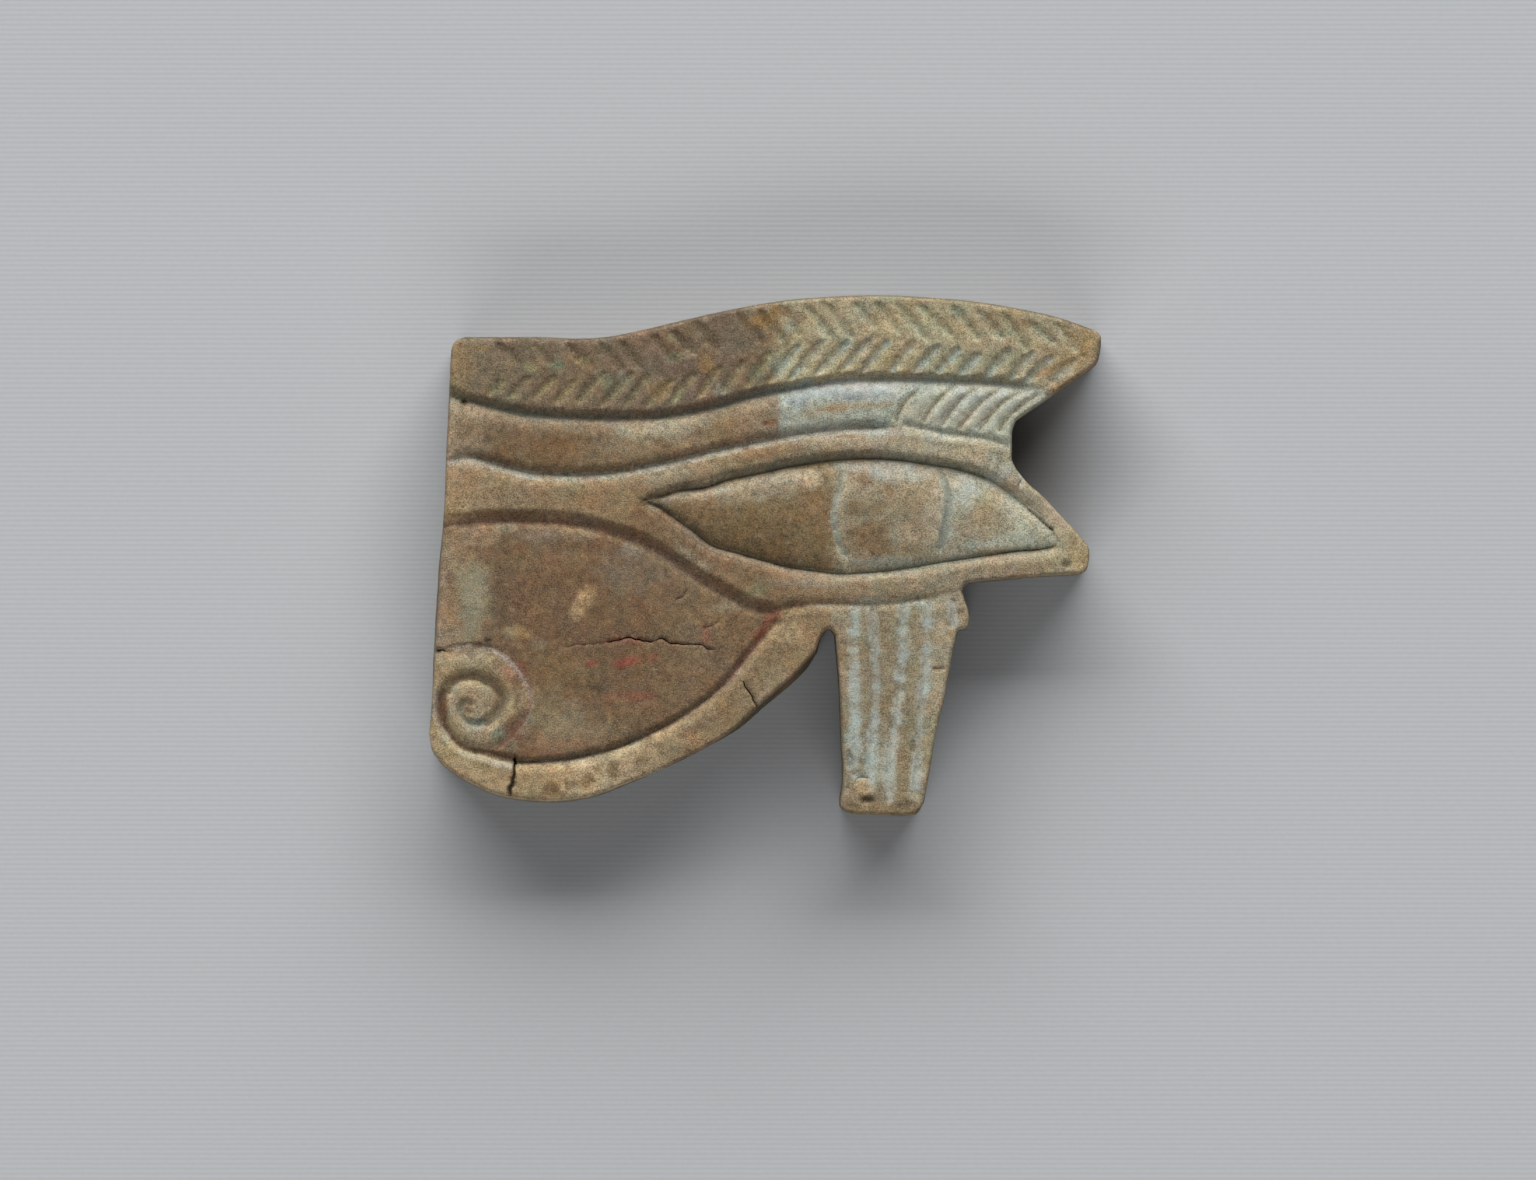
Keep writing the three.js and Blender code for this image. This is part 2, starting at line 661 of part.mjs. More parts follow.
legShares.forEach((shares, index) => {
  addPiece(
    "leg_glaze_" + (index + 1),
    fill(shares, legFillShares, LEG_LINE_FLOOR_WIDTH, LEG_LINE_DEPTH, LEG_FILL_HEIGHT),
    finishes.paleGlaze,
  );
});

export default amulet;
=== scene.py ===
import math

import bpy
import numpy as np
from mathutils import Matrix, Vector
from mathutils.geometry import delaunay_2d_cdt


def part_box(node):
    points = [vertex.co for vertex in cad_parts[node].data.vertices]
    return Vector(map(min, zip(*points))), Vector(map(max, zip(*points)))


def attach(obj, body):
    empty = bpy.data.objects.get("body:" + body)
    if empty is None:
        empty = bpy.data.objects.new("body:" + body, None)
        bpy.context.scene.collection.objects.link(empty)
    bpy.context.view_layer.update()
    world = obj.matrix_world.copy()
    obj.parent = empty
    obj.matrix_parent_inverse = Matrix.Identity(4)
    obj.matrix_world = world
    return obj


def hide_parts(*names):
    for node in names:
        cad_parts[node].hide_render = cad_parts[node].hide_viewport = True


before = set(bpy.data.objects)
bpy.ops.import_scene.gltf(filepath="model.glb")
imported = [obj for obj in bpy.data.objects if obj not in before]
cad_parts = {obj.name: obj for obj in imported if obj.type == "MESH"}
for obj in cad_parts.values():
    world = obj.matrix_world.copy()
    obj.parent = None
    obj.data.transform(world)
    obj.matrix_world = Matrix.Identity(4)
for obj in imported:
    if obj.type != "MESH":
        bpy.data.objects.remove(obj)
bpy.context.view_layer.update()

# Frame: plan positions are in millimetres, read from points in the photograph's pixels

MM = 0.001
LOW, HIGH = (np.array(corner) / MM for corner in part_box("faience_body"))
WIDTH, HEIGHT, FACE = HIGH - LOW
PHOTO_WIDTH = 1536
PHOTO_CENTRE = (768, 590)
PHOTO_LEFT, PHOTO_RIGHT = 428.2, 1102.0
PHOTO_TOP, PHOTO_BOTTOM = 294.1, 816.9
PIXEL = WIDTH / (PHOTO_RIGHT - PHOTO_LEFT)
SEED = 11


def placed(points):
    """Plan positions of the photograph's pixels."""
    x, y = np.asarray(points, float).T[:2]
    across = (x - PHOTO_LEFT) / (PHOTO_RIGHT - PHOTO_LEFT)
    up = (PHOTO_BOTTOM - y) / (PHOTO_BOTTOM - PHOTO_TOP)
    return np.column_stack([(across - 0.5) * WIDTH, (up - 0.5) * HEIGHT])


def pixels(spots):
    """The photograph's pixels of plan positions."""
    across = (spots[:, 0] / WIDTH + 0.5) * (PHOTO_RIGHT - PHOTO_LEFT)
    down = (0.5 - spots[:, 1] / HEIGHT) * (PHOTO_BOTTOM - PHOTO_TOP)
    return PHOTO_LEFT + across, PHOTO_TOP + down


# Outline, clockwise from the upper left corner, in the photograph's pixels
OUTLINE = [
    [(465, 336), (500, 336), (540, 336), (580, 337.6), (612, 335), (641, 329.4), (681, 319.7),
     (720, 310.8), (760, 303), (800, 297.7), (840, 295.2), (880, 294.1), (920, 295.8), (960, 298.8),
     (1000, 304.1), (1035, 310.8), (1061, 317.2), (1090.5, 327.4)],
    [(1090.5, 327.4), (1098, 331.3), (1101.4, 335), (1102, 341.5), (1101, 352), (1098, 363.3),
     (1085, 374)],
    [(1085, 374), (1067, 386.4), (1048, 400), (1029, 412.7), (1017, 421)],
    [(1017, 421), (1013.3, 431), (1013, 447), (1013, 459.6), (1017.4, 469)],
    [(1017.4, 469), (1029, 483), (1042.6, 494.7), (1058.7, 511.8), (1080, 534)],
    [(1080, 534), (1089.3, 546), (1090.7, 555), (1087.5, 570), (1082, 574.3), (1075, 575.5)],
    [(1075, 575.5), (1035, 578), (999.5, 581), (969, 583.6)],
    [(969, 583.6), (963.8, 589.8), (965, 597), (970.3, 615.3), (968.7, 628), (959, 631.3)],
    [(959, 631.3), (953.4, 655), (945.4, 698.6), (935.8, 740), (929.4, 778.7), (925, 802.8)],
    [(925, 802.8), (917.4, 814.8), (905, 816.9), (871, 815.6), (852, 814.8), (840.4, 809),
     (839.3, 800)],
    [(839.3, 800), (842, 780), (840.4, 740), (838.8, 692), (836.4, 660), (834, 636)],
    [(834, 636), (829, 629.7), (822.5, 637), (817, 652)],
    [(817, 652), (795, 676), (763, 704), (735, 730.4), (701, 751.2), (661.5, 770.8), (627, 784.6),
     (592, 797.3), (555, 802.4), (514, 799.6), (489.6, 793.3), (461, 778.8), (442, 766)],
    [(442, 766), (431.3, 751), (428.2, 734)],
    [(428.2, 734), (430.8, 699), (434, 651), (438.3, 578.7), (442.6, 521), (444.4, 474),
     (446.3, 429), (449.5, 358)],
    [(449.5, 358), (451, 347), (455, 340.5), (465, 336)],
]

# Lines of the relief, in the photograph's pixels
LINES = {
    "brow": [(436, 387), (458.5, 395.6), (480, 401.4), (510, 409), (551, 414.2), (600, 416),
             (641, 416), (681, 412), (720, 403.5), (760, 392.5), (800, 385.3), (840, 378.7),
             (880, 377), (940, 378.5), (1000, 381.7), (1046, 388)],
    "lid": [(434, 459), (470, 455), (500, 463), (530, 470.6), (561, 472.6), (600, 471.5),
            (641, 465.9), (681, 457.6), (720, 448), (760, 439), (800, 431.2), (840, 426.5),
            (880, 425), (898, 422.5)],
    "eye_upper": [(641.5, 498), (658.5, 495.4), (681.5, 489), (705, 485.4), (728, 477.7),
                  (752, 473), (774, 468), (797, 463.4), (820, 460), (856, 457), (892, 457.4),
                  (928, 462.4), (963.6, 468.7), (990.5, 478.6), (1014, 494), (1033.6, 510),
                  (1050, 524.4), (1062, 541)],
    "eye_lower": [(641.5, 498), (660, 505), (675.4, 515.4), (694, 529), (712, 543),
                  (737, 550.8), (761.5, 557.7), (786, 564.6), (820, 569.5), (838, 571.5),
                  (874, 570), (910, 565.6), (945.6, 559.4), (981.5, 554), (1017.5, 548.6),
                  (1046, 545.5), (1062, 541)],
    "iris_left": [(846, 468), (839, 490), (836, 503), (834.4, 515), (835.3, 526), (841.5, 548),
                  (850, 560)],
    "iris_right": [(937, 472), (942, 476), (946.5, 487), (948.3, 499), (948.3, 512),
                   (945.6, 524), (940, 548), (936, 555)],
    "under_lid": [(768, 609), (786, 605.5), (805, 602), (840, 601.5), (880, 602),
                  (920, 597.5), (958, 590)],
    "cheek_upper": [(412, 529), (430, 526.5), (460, 523.5), (500, 520.5), (540, 521),
                    (580, 525.5), (610, 532.5), (640, 543.5), (660, 554), (681, 568.5),
                    (701, 582), (723, 594.5), (743, 605), (763, 611.5), (780, 613.5)],
    "cheek_lower": [(780, 613.5), (769.5, 629.5), (757.5, 643.5), (747.5, 656.5), (736.5, 669.5),
                    (723.5, 684.5), (706.5, 699.5), (691.5, 710.5), (669, 724.5), (641, 738.5),
                    (611, 750), (581, 757.5), (546, 762), (516, 763)],
    "curl_outer": [(412, 654), (424, 652.5), (440, 650.5), (456, 648.5), (471, 646), (484, 647),
                   (497, 652), (509, 661), (519, 672), (526, 684), (529.5, 696), (528.5, 709),
                   (522, 722), (513, 733), (504, 742), (494, 749), (484, 752)],
    "curl_groove": [(446, 690), (450, 682.5), (456, 677.5), (465, 674), (476, 674), (487, 678.5),
                    (496.5, 686), (501.5, 697), (499.5, 707), (493, 715.5), (484, 720)],
    "curl_eye": [(484, 720), (474, 721), (465, 717), (460.5, 709.5), (463, 702.5),
                 (469, 700.5), (474.5, 704.5)],
    "curl_turn": [(446, 690), (442, 697), (440.5, 706), (443, 718), (448, 730), (454, 738.5),
                  (462, 745.5), (472, 750), (484, 752.5), (495, 756), (505, 759), (516, 761.5)],
    "thin_lid": [(650, 510), (665, 520), (680, 530), (695, 540), (710, 550), (725, 556),
                 (740, 561), (755, 567)],
}
FEATHERS = [
    [(896, 426), (899, 414), (907, 401), (922, 385)],
    [(922, 426), (930, 411), (942, 396), (956, 384)],
    [(940, 429), (950, 413), (963, 398), (977, 386)],
    [(957, 432), (971, 414), (985, 399), (1000, 388)],
    [(976, 434), (990, 416), (1004, 402), (1020, 391)],
    [(996, 434), (1009, 417), (1022, 405), (1040, 393)],
]
LEGS = [
    [(854, 602), (853, 640), (854, 680), (855, 720), (856, 760), (855, 782)],
    [(873, 601), (874, 640), (876, 680), (874, 715), (871, 750), (870, 797)],
    [(903, 600), (903, 640), (899, 690), (894, 735), (889, 770), (888, 809)],
    [(927, 597), (927, 640), (925, 675), (921, 710), (919, 750), (914, 802)],
    [(954, 599), (953, 612), (951, 629)],
]

# Cracks: points, widths at the start and at the end, depth in millimetres, tone
CRACKS = [
    ([(515, 757), (514.5, 766), (514, 773), (512, 780), (511, 788), (509.5, 799)],
      (0.09, 0.3), 0.6, "dark"),
    ([(560, 648), (574, 645.5), (590, 644), (604, 643), (612, 641)], (0.04, 0.06), 0.06, "red"),
    ([(604, 643), (616, 641), (624, 638.5), (634, 638.5), (644, 640.5), (650, 641.5), (656, 640)],
      (0.05, 0.09), 0.4, "stain"),
    ([(653, 641), (662, 639), (670, 643), (681, 644), (691, 644.5), (703, 646.5), (712, 650),
      (718, 648.6)], (0.08, 0.04), 0.3, "stain"),
    ([(742, 681), (747, 689), (752, 695), (755, 701), (759.5, 709)], (0.05, 0.12), 0.35, "dark"),
    ([(675, 601.5), (680, 599), (684, 594), (688.5, 590)], (0.03, 0.04), 0.08, "red"),
    ([(703, 628), (711, 626), (719, 622)], (0.03, 0.03), 0.05, "red"),
    ([(1017, 490), (1020, 484), (1023, 478), (1026, 474)], (0.06, 0.05), 0.12, "white_pink"),
    ([(932, 670), (939, 668), (947, 668.5)], (0.03, 0.02), 0.05, "umber"),
    ([(433, 652), (440, 650.5), (446, 651.5)], (0.12, 0.05), 0.3, "dark"),
    ([(856, 779), (861, 777), (868, 777.5), (873, 780)], (0.05, 0.05), 0.1, "umber"),
]

# Brow strokes: both ends in the photograph's pixels, and the strength
UPPER_STROKES = [
    (497, 342, 519, 361, 0.5), (531, 342, 552, 361, 0.6), (566, 343, 590, 364, 0.6),
    (599, 342, 622, 367, 0.7), (620, 340, 640, 366, 0.7), (652, 334, 676, 360, 0.6),
    (671, 329, 694, 353, 0.7), (695, 321, 719, 350, 0.6), (735, 312, 762, 341, 0.6),
    (758, 308, 781, 338, 0.7), (779, 304, 799, 334, 0.9), (804, 304, 829, 334, 0.8),
    (822, 301, 851, 335, 1.0), (854, 301, 874, 325, 0.9), (875, 301, 898, 330, 1.0),
    (897, 303, 925, 337, 1.1), (918, 304, 950, 333, 1.0), (952, 305, 977, 337, 1.1),
    (978, 310, 1001, 336, 1.0), (1003, 313, 1026, 348, 0.9), (1028, 321, 1053, 341, 0.8),
    (1053, 321, 1075, 348, 0.7),
]
LOWER_STROKES = [
    (486, 393, 502, 379, 0.6), (508, 396, 528, 376, 0.6), (532, 396, 554, 375, 0.7),
    (555, 401, 573, 380, 0.7), (577, 400, 602, 372, 0.8), (601, 403, 631, 372, 0.8),
    (624, 405, 648, 374, 0.6), (645, 404, 671, 379, 0.7), (671, 399, 694, 372, 0.7),
    (698, 395, 718, 366, 0.7), (722, 390, 742, 360, 0.6), (746, 384, 768, 352, 0.8),
    (768, 380, 797, 345, 1.1), (789, 377, 821, 340, 0.9), (815, 372, 848, 339, 1.1),
    (841, 368, 868, 338, 1.1), (861, 370, 887, 340, 1.1), (890, 370, 914, 340, 1.1),
    (913, 370, 938, 344, 1.1), (936, 371, 958, 347, 1.2), (958, 373, 978, 352, 1.1),
    (983, 377, 1009, 347, 1.3), (1007, 379, 1031, 351, 1.2), (1024, 380, 1050, 356, 1.0),
    (1046, 384, 1074, 358, 0.8),
]
# How far the middle of a stroke is bowed down, in pixels, and the shares of its length by which
# it runs on past its two points
STROKE_BOW = 1.2
STROKE_HEAD, STROKE_TAIL = 0.1, 0.12
# Share of the full depth at strength 0, and how much it grows up to strength 1
STROKE_LEAST, STROKE_SPAN = 0.4, 0.7

# Sizes in millimetres
LINE_STEP = 0.4
NEAR = 3.0
EDGE_REACH = 2.0
FINE_STEP = 0.16
COARSE_STEP = 0.28
BACK_STEP = 1.1
FINE_REACH = 0.95
CRACK_STEP = 0.08
CRACK_SIDE_STEP = 0.1
CRACK_REACH = 0.5
CRACK_CLEARANCE = 0.35
CRACK_MOUTH = 1.4
CRACK_FLOOR = 0.6
CRACK_JOG = 0.13
CRACK_GRAIN = 0.42
WOBBLE = 0.05
RIM_STEP = 0.24
BOTTOM_RADIUS = 0.11
FRONT_INSET = 0.2
EDGE_RADIUS = 0.36
EDGE_DROP = 0.22
BROW_DEPTH = 0.6
LID_DEPTH = 0.56
EYE_DEPTH = 0.82
EYE_CREST = 0.04
EYE_CORNER_DEPTH = 0.16
EYE_OPENING = 2.6
IRIS_RADII = (5.6, 5.4)
IRIS_RISE = 0.06
RING_DEPTH = 0.16
CHEEK_DEPTH = 0.64
CHEEK_LEVEL = 0.27
CURL_DEPTH = 0.55
STROKE_DEPTH = 0.225
STROKE_WIDTH = 0.95
FEATHER_DEPTH = 0.19
LEG_LEVEL = 0.1
FACE_MARGIN = 0.06
BORE_RADIUS = 1.0
BORE_CENTRE = np.array([0.211 * HEIGHT, FACE / 2])
TOLERANCE = 1e-5

# Counts: sides and stations of the rod that cuts the hole, size of the grid of random numbers,
# spots that are measured at a time
BORE_SIDES = 36
BORE_STATIONS = 60
LATTICE = 256
BATCH = 3000

# Curves and noise


def smooth(points, per_span=10):
    """Centripetal curve through the given points."""
    points = np.asarray(points, float)
    ends = 2 * points[[0, -1]] - points[[1, -2]]
    chain = np.vstack([ends[:1], points, ends[1:]])
    knots = np.append(0, np.cumsum(np.linalg.norm(np.diff(chain, axis=0), axis=1) ** 0.5))
    spans = []
    for first in range(len(points) - 1):
        a, b, c, d = chain[first:first + 4]
        ta, tb, tc, td = knots[first:first + 4]
        t = np.linspace(tb, tc, per_span, endpoint=False)[:, None]
        ab = ((tb - t) * a + (t - ta) * b) / (tb - ta)
        bc = ((tc - t) * b + (t - tb) * c) / (tc - tb)
        cd = ((td - t) * c + (t - tc) * d) / (td - tc)
        abc = ((tc - t) * ab + (t - ta) * bc) / (tc - ta)
        bcd = ((td - t) * bc + (t - tb) * cd) / (td - tb)
        spans.append(((tc - t) * abc + (t - tb) * bcd) / (tc - tb))
    return np.vstack([*spans, points[-1:]])


def even(points, step):
    """The same polyline with points an even step apart."""
    run = np.append(0, np.cumsum(np.linalg.norm(np.diff(points, axis=0), axis=1)))
    at = np.linspace(0, run[-1], max(3, round(run[-1] / step) + 1))
    return np.column_stack([np.interp(at, run, points[:, k]) for k in (0, 1)])


def line_of(points, step=LINE_STEP):
    return even(smooth(placed(points)), step)


def ease(value, start, end):
    """Smooth step from 0 at start to 1 at end."""
    t = np.clip((value - start) / (end - start), 0, 1)
    return t * t * (3 - 2 * t)


SEED_STEP = np.array([17.3, 41.7])
lattice = np.random.default_rng(SEED).uniform(-1, 1, (LATTICE, LATTICE))


def noise(spots, cell, seed=0):
    """Smooth noise from -1 to 1 with grains one cell across."""
    at = spots / cell + SEED_STEP * (seed + 1)
    base = np.floor(at).astype(int)
    part = at - base
    part = part * part * (3 - 2 * part)
    rows, columns = (base[:, k] % LATTICE for k in (0, 1))
    next_row, next_column = (rows + 1) % LATTICE, (columns + 1) % LATTICE
    low = lattice[rows, columns] * (1 - part[:, 0]) + lattice[next_row, columns] * part[:, 0]
    high = lattice[rows, next_column] * (1 - part[:, 0])
    high += lattice[next_row, next_column] * part[:, 0]
    return low * (1 - part[:, 1]) + high * part[:, 1]


def cloud(spots, cell, seed=0, octaves=4):
    """Layered noise, each layer half as coarse and half as strong as the one before."""
    total = np.zeros(len(spots))
    for octave in range(octaves):
        total += noise(spots, cell / 2**octave, seed + 5 * octave) / 2**octave
    return total / (2 - 2.0 ** (1 - octaves))


# Lines in plan


def nearest(line, spots, reach=NEAR):
    """Distance, side and share of the way along a line; spots out of reach are at infinity."""
    distance = np.full(len(spots), np.inf)
    side = np.ones(len(spots))
    share = np.zeros(len(spots))
    low, high = line.min(0) - reach, line.max(0) + reach
    close = np.flatnonzero(np.all((spots >= low) & (spots <= high), axis=1))
    start, step = line[:-1], np.diff(line, axis=0)
    length = np.linalg.norm(step, axis=1)
    run = np.append(0, np.cumsum(length))
    for part in np.array_split(close, len(close) // BATCH + 1):
        offset = spots[part][:, None] - start
        along = np.clip((offset * step).sum(2) / length**2, 0, 1)
        gap = ((offset - along[..., None] * step) ** 2).sum(2)
        best = gap.argmin(1)
        rows = np.arange(len(part))
        offset = offset[rows, best]
        distance[part] = np.sqrt(gap[rows, best])
        cross = step[best, 0] * offset[:, 1] - step[best, 1] * offset[:, 0]
        side[part] = np.where(cross >= 0, 1, -1)
        share[part] = (run[best] + along[rows, best] * length[best]) / run[-1]
    return distance, side, share


def gap_to(lines_found, spots, reach):
    """Distance to the nearest of several lines."""
    return np.minimum.reduce([nearest(line, spots, reach)[0] for line in lines_found])


def inside(polygon, spots):
    """Whether each spot lies inside a closed polygon."""
    found = np.zeros(len(spots), bool)
    for a, b in zip(polygon, np.roll(polygon, -1, axis=0)):
        if a[1] == b[1]:
            continue
        low, high = sorted((a[1], b[1]))
        rows = np.flatnonzero((spots[:, 1] >= low) & (spots[:, 1] < high))
        x = a[0] + (spots[rows, 1] - a[1]) * (b[0] - a[0]) / (b[1] - a[1])
        found[rows] ^= spots[rows, 0] < x
    return found


def stroke_lines():
    """Brow strokes as short bowed lines, with how deep each is cut."""
    found = []
    for row, strokes_of_row in (("upper", UPPER_STROKES), ("lower", LOWER_STROKES)):
        for x0, y0, x1, y1, strength in strokes_of_row:
            start, end = (np.array(spot) + STROKE_SHIFT for spot in ((x0, y0), (x1, y1)))
            start, end = (start + STROKE_HEAD * (start - end),
                          end + STROKE_TAIL * (end - start))
            bow = (start + end) / 2 + (0, STROKE_BOW)
            found.append((line_of([start, bow, end]), STROKE_LEAST + STROKE_SPAN * strength, row))
    return found


def jagged(line):
    """A crack's line with small sudden turns; its ends stay put."""
    jog = CRACK_JOG * np.column_stack([noise(line, CRACK_GRAIN, seed) for seed in (61, 62)])
    jog[[0, -1]] = 0
    return line + jog


# How far the floor of a cut lies from its darkest line, in pixels
SHIFTS = {"brow": (0, 3), "lid": (0, 3), "eye_upper": (0, 2.6), "eye_lower": (0, 2.6),
          "under_lid": (0, 3), "curl_groove": (0, 3.2), "curl_eye": (0, 3.2)}
STROKE_SHIFT = (1, 2)
for name, (across, down) in SHIFTS.items():
    LINES[name] = [(x + across, y + down) for x, y in LINES[name]]
BORDERS = {
    "brow_border": [(400, 378), *LINES["brow"], (1062, 400), (1115, 430)],
    "lid_border": [(400, 460), *LINES["lid"], (920, 430), (940, 433), (960, 436), (980, 438),
                   (1000, 442), (1020, 450), (1115, 470)],
    "eye_border": [(400, 640), (600, 560), *LINES["eye_lower"], (1085, 545), (1115, 560)],
    "under_border": [(750, 608), *LINES["under_lid"], (975, 584), (1115, 590)],
    "rim_border": [(400, 716), (437, 722), (448, 736), (462, 747), (481, 753), (500, 758),
                   *LINES["cheek_lower"][::-1], (792, 603), (835, 600)],
    "curl_path": [*LINES["curl_groove"], *LINES["curl_eye"][1:]],
    "lid_tail": [(898, 424), (925, 429), (950, 434), (975, 437), (995, 441), (1012, 448)],
}
lines = {name: line_of(points) for name, points in (LINES | BORDERS).items()}
feathers = [line_of(points) for points in FEATHERS]
legs = [line_of(points) for points in LEGS]
cracks = [jagged(line_of(points, RIM_STEP)) for points, *_ in CRACKS]
strokes = stroke_lines()
cut_lines = [lines[name] for name in LINES] + feathers + legs + [line for line, *_ in strokes]
stretches = [line_of(stretch, RIM_STEP) for stretch in OUTLINE]
outline = np.vstack([stretch[:-1] for stretch in stretches])[::-1]
areas = {
    "almond": np.vstack([lines["eye_upper"], lines["eye_lower"][::-1]]),
    "cheek": np.vstack([lines["cheek_upper"], lines["cheek_lower"],
                        placed([(505, 759), (495, 756)]), lines["curl_outer"][::-1]]),
    "curl": np.vstack([lines["curl_outer"], lines["curl_turn"][::-1], placed([(412, 694)])]),
    "leg": placed([(834, 600), (880, 601), (920, 596), (972, 587), (985, 640), (940, 830),
                   (825, 830), (829, 628)]),
}


def wobble(spots):
    """Small sideways play of hand-cut lines."""
    return np.column_stack([WOBBLE * cloud(spots, 2.2, seed, 2) for seed in (31, 32)])


class Survey:
    """Where spots of the face lie against the lines of the relief."""

    def __init__(self, spots):
        self.spots = spots
        self.bent = spots + wobble(spots)
        self.known = {}

    def kept(self, name, find):
        """What is found under a name, worked out once."""
        if name not in self.known:
            self.known[name] = find()
        return self.known[name]

    def to(self, name):
        return self.kept(name, lambda: nearest(lines[name], self.bent))

    def within(self, name):
        return self.kept(name, lambda: inside(areas[name], self.bent))

    def edge(self):
        """Distance to the outline."""
        return self.kept("edge", lambda: gap_to(stretches, self.spots, EDGE_REACH))

    def height_over(self, name):
        """How far a spot lies above a line that runs from left to right."""
        line = lines[name]
        return self.bent[:, 1] - np.interp(self.bent[:, 0], line[:, 0], line[:, 1])


# Relief: how far the face drops below its highest level

LEAST_SHARE = 1e-6


def fall(distance, width, power):
    """From 1 on a line down to 0 at a distance, steeper with a higher power."""
    return np.clip(1 - distance / width, 0, 1) ** power


def taper(share, start, end):
    """Strength along a line that fades over a share of its length at each end."""
    return ease(share, 0, max(start, LEAST_SHARE)) * ease(1 - share, 0, max(end, LEAST_SHARE))


def beside(distance, side, left, right):
    """Strength that fades over a width, by a power, on each side of a line."""
    return np.where(side > 0, fall(distance, *left), fall(distance, *right))


def valley(found, depth, left, right, ends=(0, 0), flat=0.0):
    """A line cut to a depth, with a width and a power of the slope on each of its sides."""
    distance, side, share = found
    distance = np.sqrt(distance**2 + BOTTOM_RADIUS**2) - BOTTOM_RADIUS
    distance = np.clip(distance - flat, 0, None)
    return depth * beside(distance, side, left, right) * taper(share, *ends)


def trough(found, depth, half_width, ends=(0, 0)):
    """A round-bottomed channel along a line."""
    distance, _, share = found
    return depth * (1 - ease(distance, 0.1 * half_width, half_width)) * taper(share, *ends)


def stroke_cut(found, depth):
    """A short stroke, narrow at both ends."""
    distance, _, share = found
    width = STROKE_WIDTH * (0.4 + 0.6 * taper(share, 0.4, 0.35))
    return depth * (1 - ease(distance, 0.0, width)) * taper(share, 0.16, 0.14)


def eye_span(survey):
    """Height of a spot between the lids, from -1 to 1, and how wide the eye is open there."""
    upper, lower = lines["eye_upper"], lines["eye_lower"]
    x, y = survey.bent.T
    top = np.interp(x, upper[:, 0], upper[:, 1])
    bottom = np.interp(x, lower[:, 0], lower[:, 1])
    half = np.maximum((top - bottom) / 2, 0.05)
    height = np.clip((y - (top + bottom) / 2) / half, -1, 1)
    return height, np.clip(half / EYE_OPENING, 0, 1) ** 0.5


def eyeball(survey):
    """Domed eye between the lids."""
    height, open_share = eye_span(survey)
    across = np.abs(height)
    dome = 0.7 * across**2.2 + 0.3 * across ** np.where(height > 0, 6, 9)
    crest = EYE_CREST + EYE_CORNER_DEPTH * (1 - open_share)
    return crest + (EYE_DEPTH * open_share - EYE_CREST) * dome


def iris_swell(survey):
    """The iris stands a little higher than the white."""
    reach = np.linalg.norm((survey.bent - placed([IRIS_MIDDLE])) / IRIS_RADII, axis=1)
    ring = np.minimum(survey.to("iris_left")[0], survey.to("iris_right")[0])
    return IRIS_RISE * ease(1 - reach, -0.02, 0.12) * ease(ring, 0, 0.5)


# Valleys between the rounded bars: line, depth, width and power on its left and on its right,
# share of its length over which each end runs out
VALLEYS = [
    ("brow", BROW_DEPTH, (0.9, 1.7), (1.5, 1.9), (0, 0.06), 0.1),
    ("lid", LID_DEPTH, (1.0, 1.7), (1.2, 1.8), (0.12, 0.06), 0.05),
    ("lid_tail", 0.3, (0.8, 1.8), (0.7, 1.8), (0.1, 0.05)),
    ("under_lid", 0.36, (1.1, 1.8), (0.9, 1.6), (0.0, 0.25)),
    ("cheek_upper", CHEEK_DEPTH, (1.0, 0.8), (1.2, 1.5), (0.25, 0.03), 0.05),
    ("cheek_lower", CHEEK_DEPTH, (0.95, 1.6), (1.1, 1.7), (0.04, 0.0), 0.05),
    ("curl_outer", 0.4, (0.45, 1.3), (1.1, 1.7), (0, 0.0), 0.1),
    ("curl_groove", CURL_DEPTH, (0.7, 1.5), (0.6, 1.5), (0, 0), 0.22),
    ("curl_eye", 0.36, (0.5, 1.5), (0.45, 1.5), (0, 0.1), 0.06),
    ("curl_turn", 0.6, (0.85, 1.6), (0.7, 1.8), (0, 0), 0.14),
    ("thin_lid", 0.12, (0.16, 1.2), (0.2, 1.2), (0.2, 0.3)),
]
LEG_DEPTHS = [0.14, 0.17, 0.18, 0.18, 0.14]
# Side of a valley that stays uncut, and how softly cuts that cross run into each other
CLOSED = (0.0001, 1)
BLEND_POWER = 4
# Middle of the iris, in pixels
IRIS_MIDDLE = (892, 514)
# Pit inside the curl: pixel position and radii in pixels
CURL_PIT = (467, 711, 7, 6)
CURL_PIT_DEPTH = 0.26


def bar_relief(survey):
    """Valleys between the rounded bars, and the pit in the curl."""
    parts = [valley(survey.to(name), *rest) for name, *rest in VALLEYS]
    parts.append(CURL_PIT_DEPTH * ease(-blot(survey.bent, *CURL_PIT), -1.1, -0.3))
    return parts


def small_relief(survey):
    """Slanted lines, lines of the leg and brow strokes."""
    parts = [valley(nearest(line, survey.bent), FEATHER_DEPTH, (0.8, 1.8), (0.72, 1.8),
                    (0.12, 0.06)) for line in feathers]
    for line, depth in zip(legs, LEG_DEPTHS):
        parts.append(trough(nearest(line, survey.bent), LEG_LEVEL + depth, 0.7, (0.03, 0.05)))
    for line, strength, _ in strokes:
        parts.append(stroke_cut(nearest(line, survey.bent), STROKE_DEPTH * strength))
    return parts


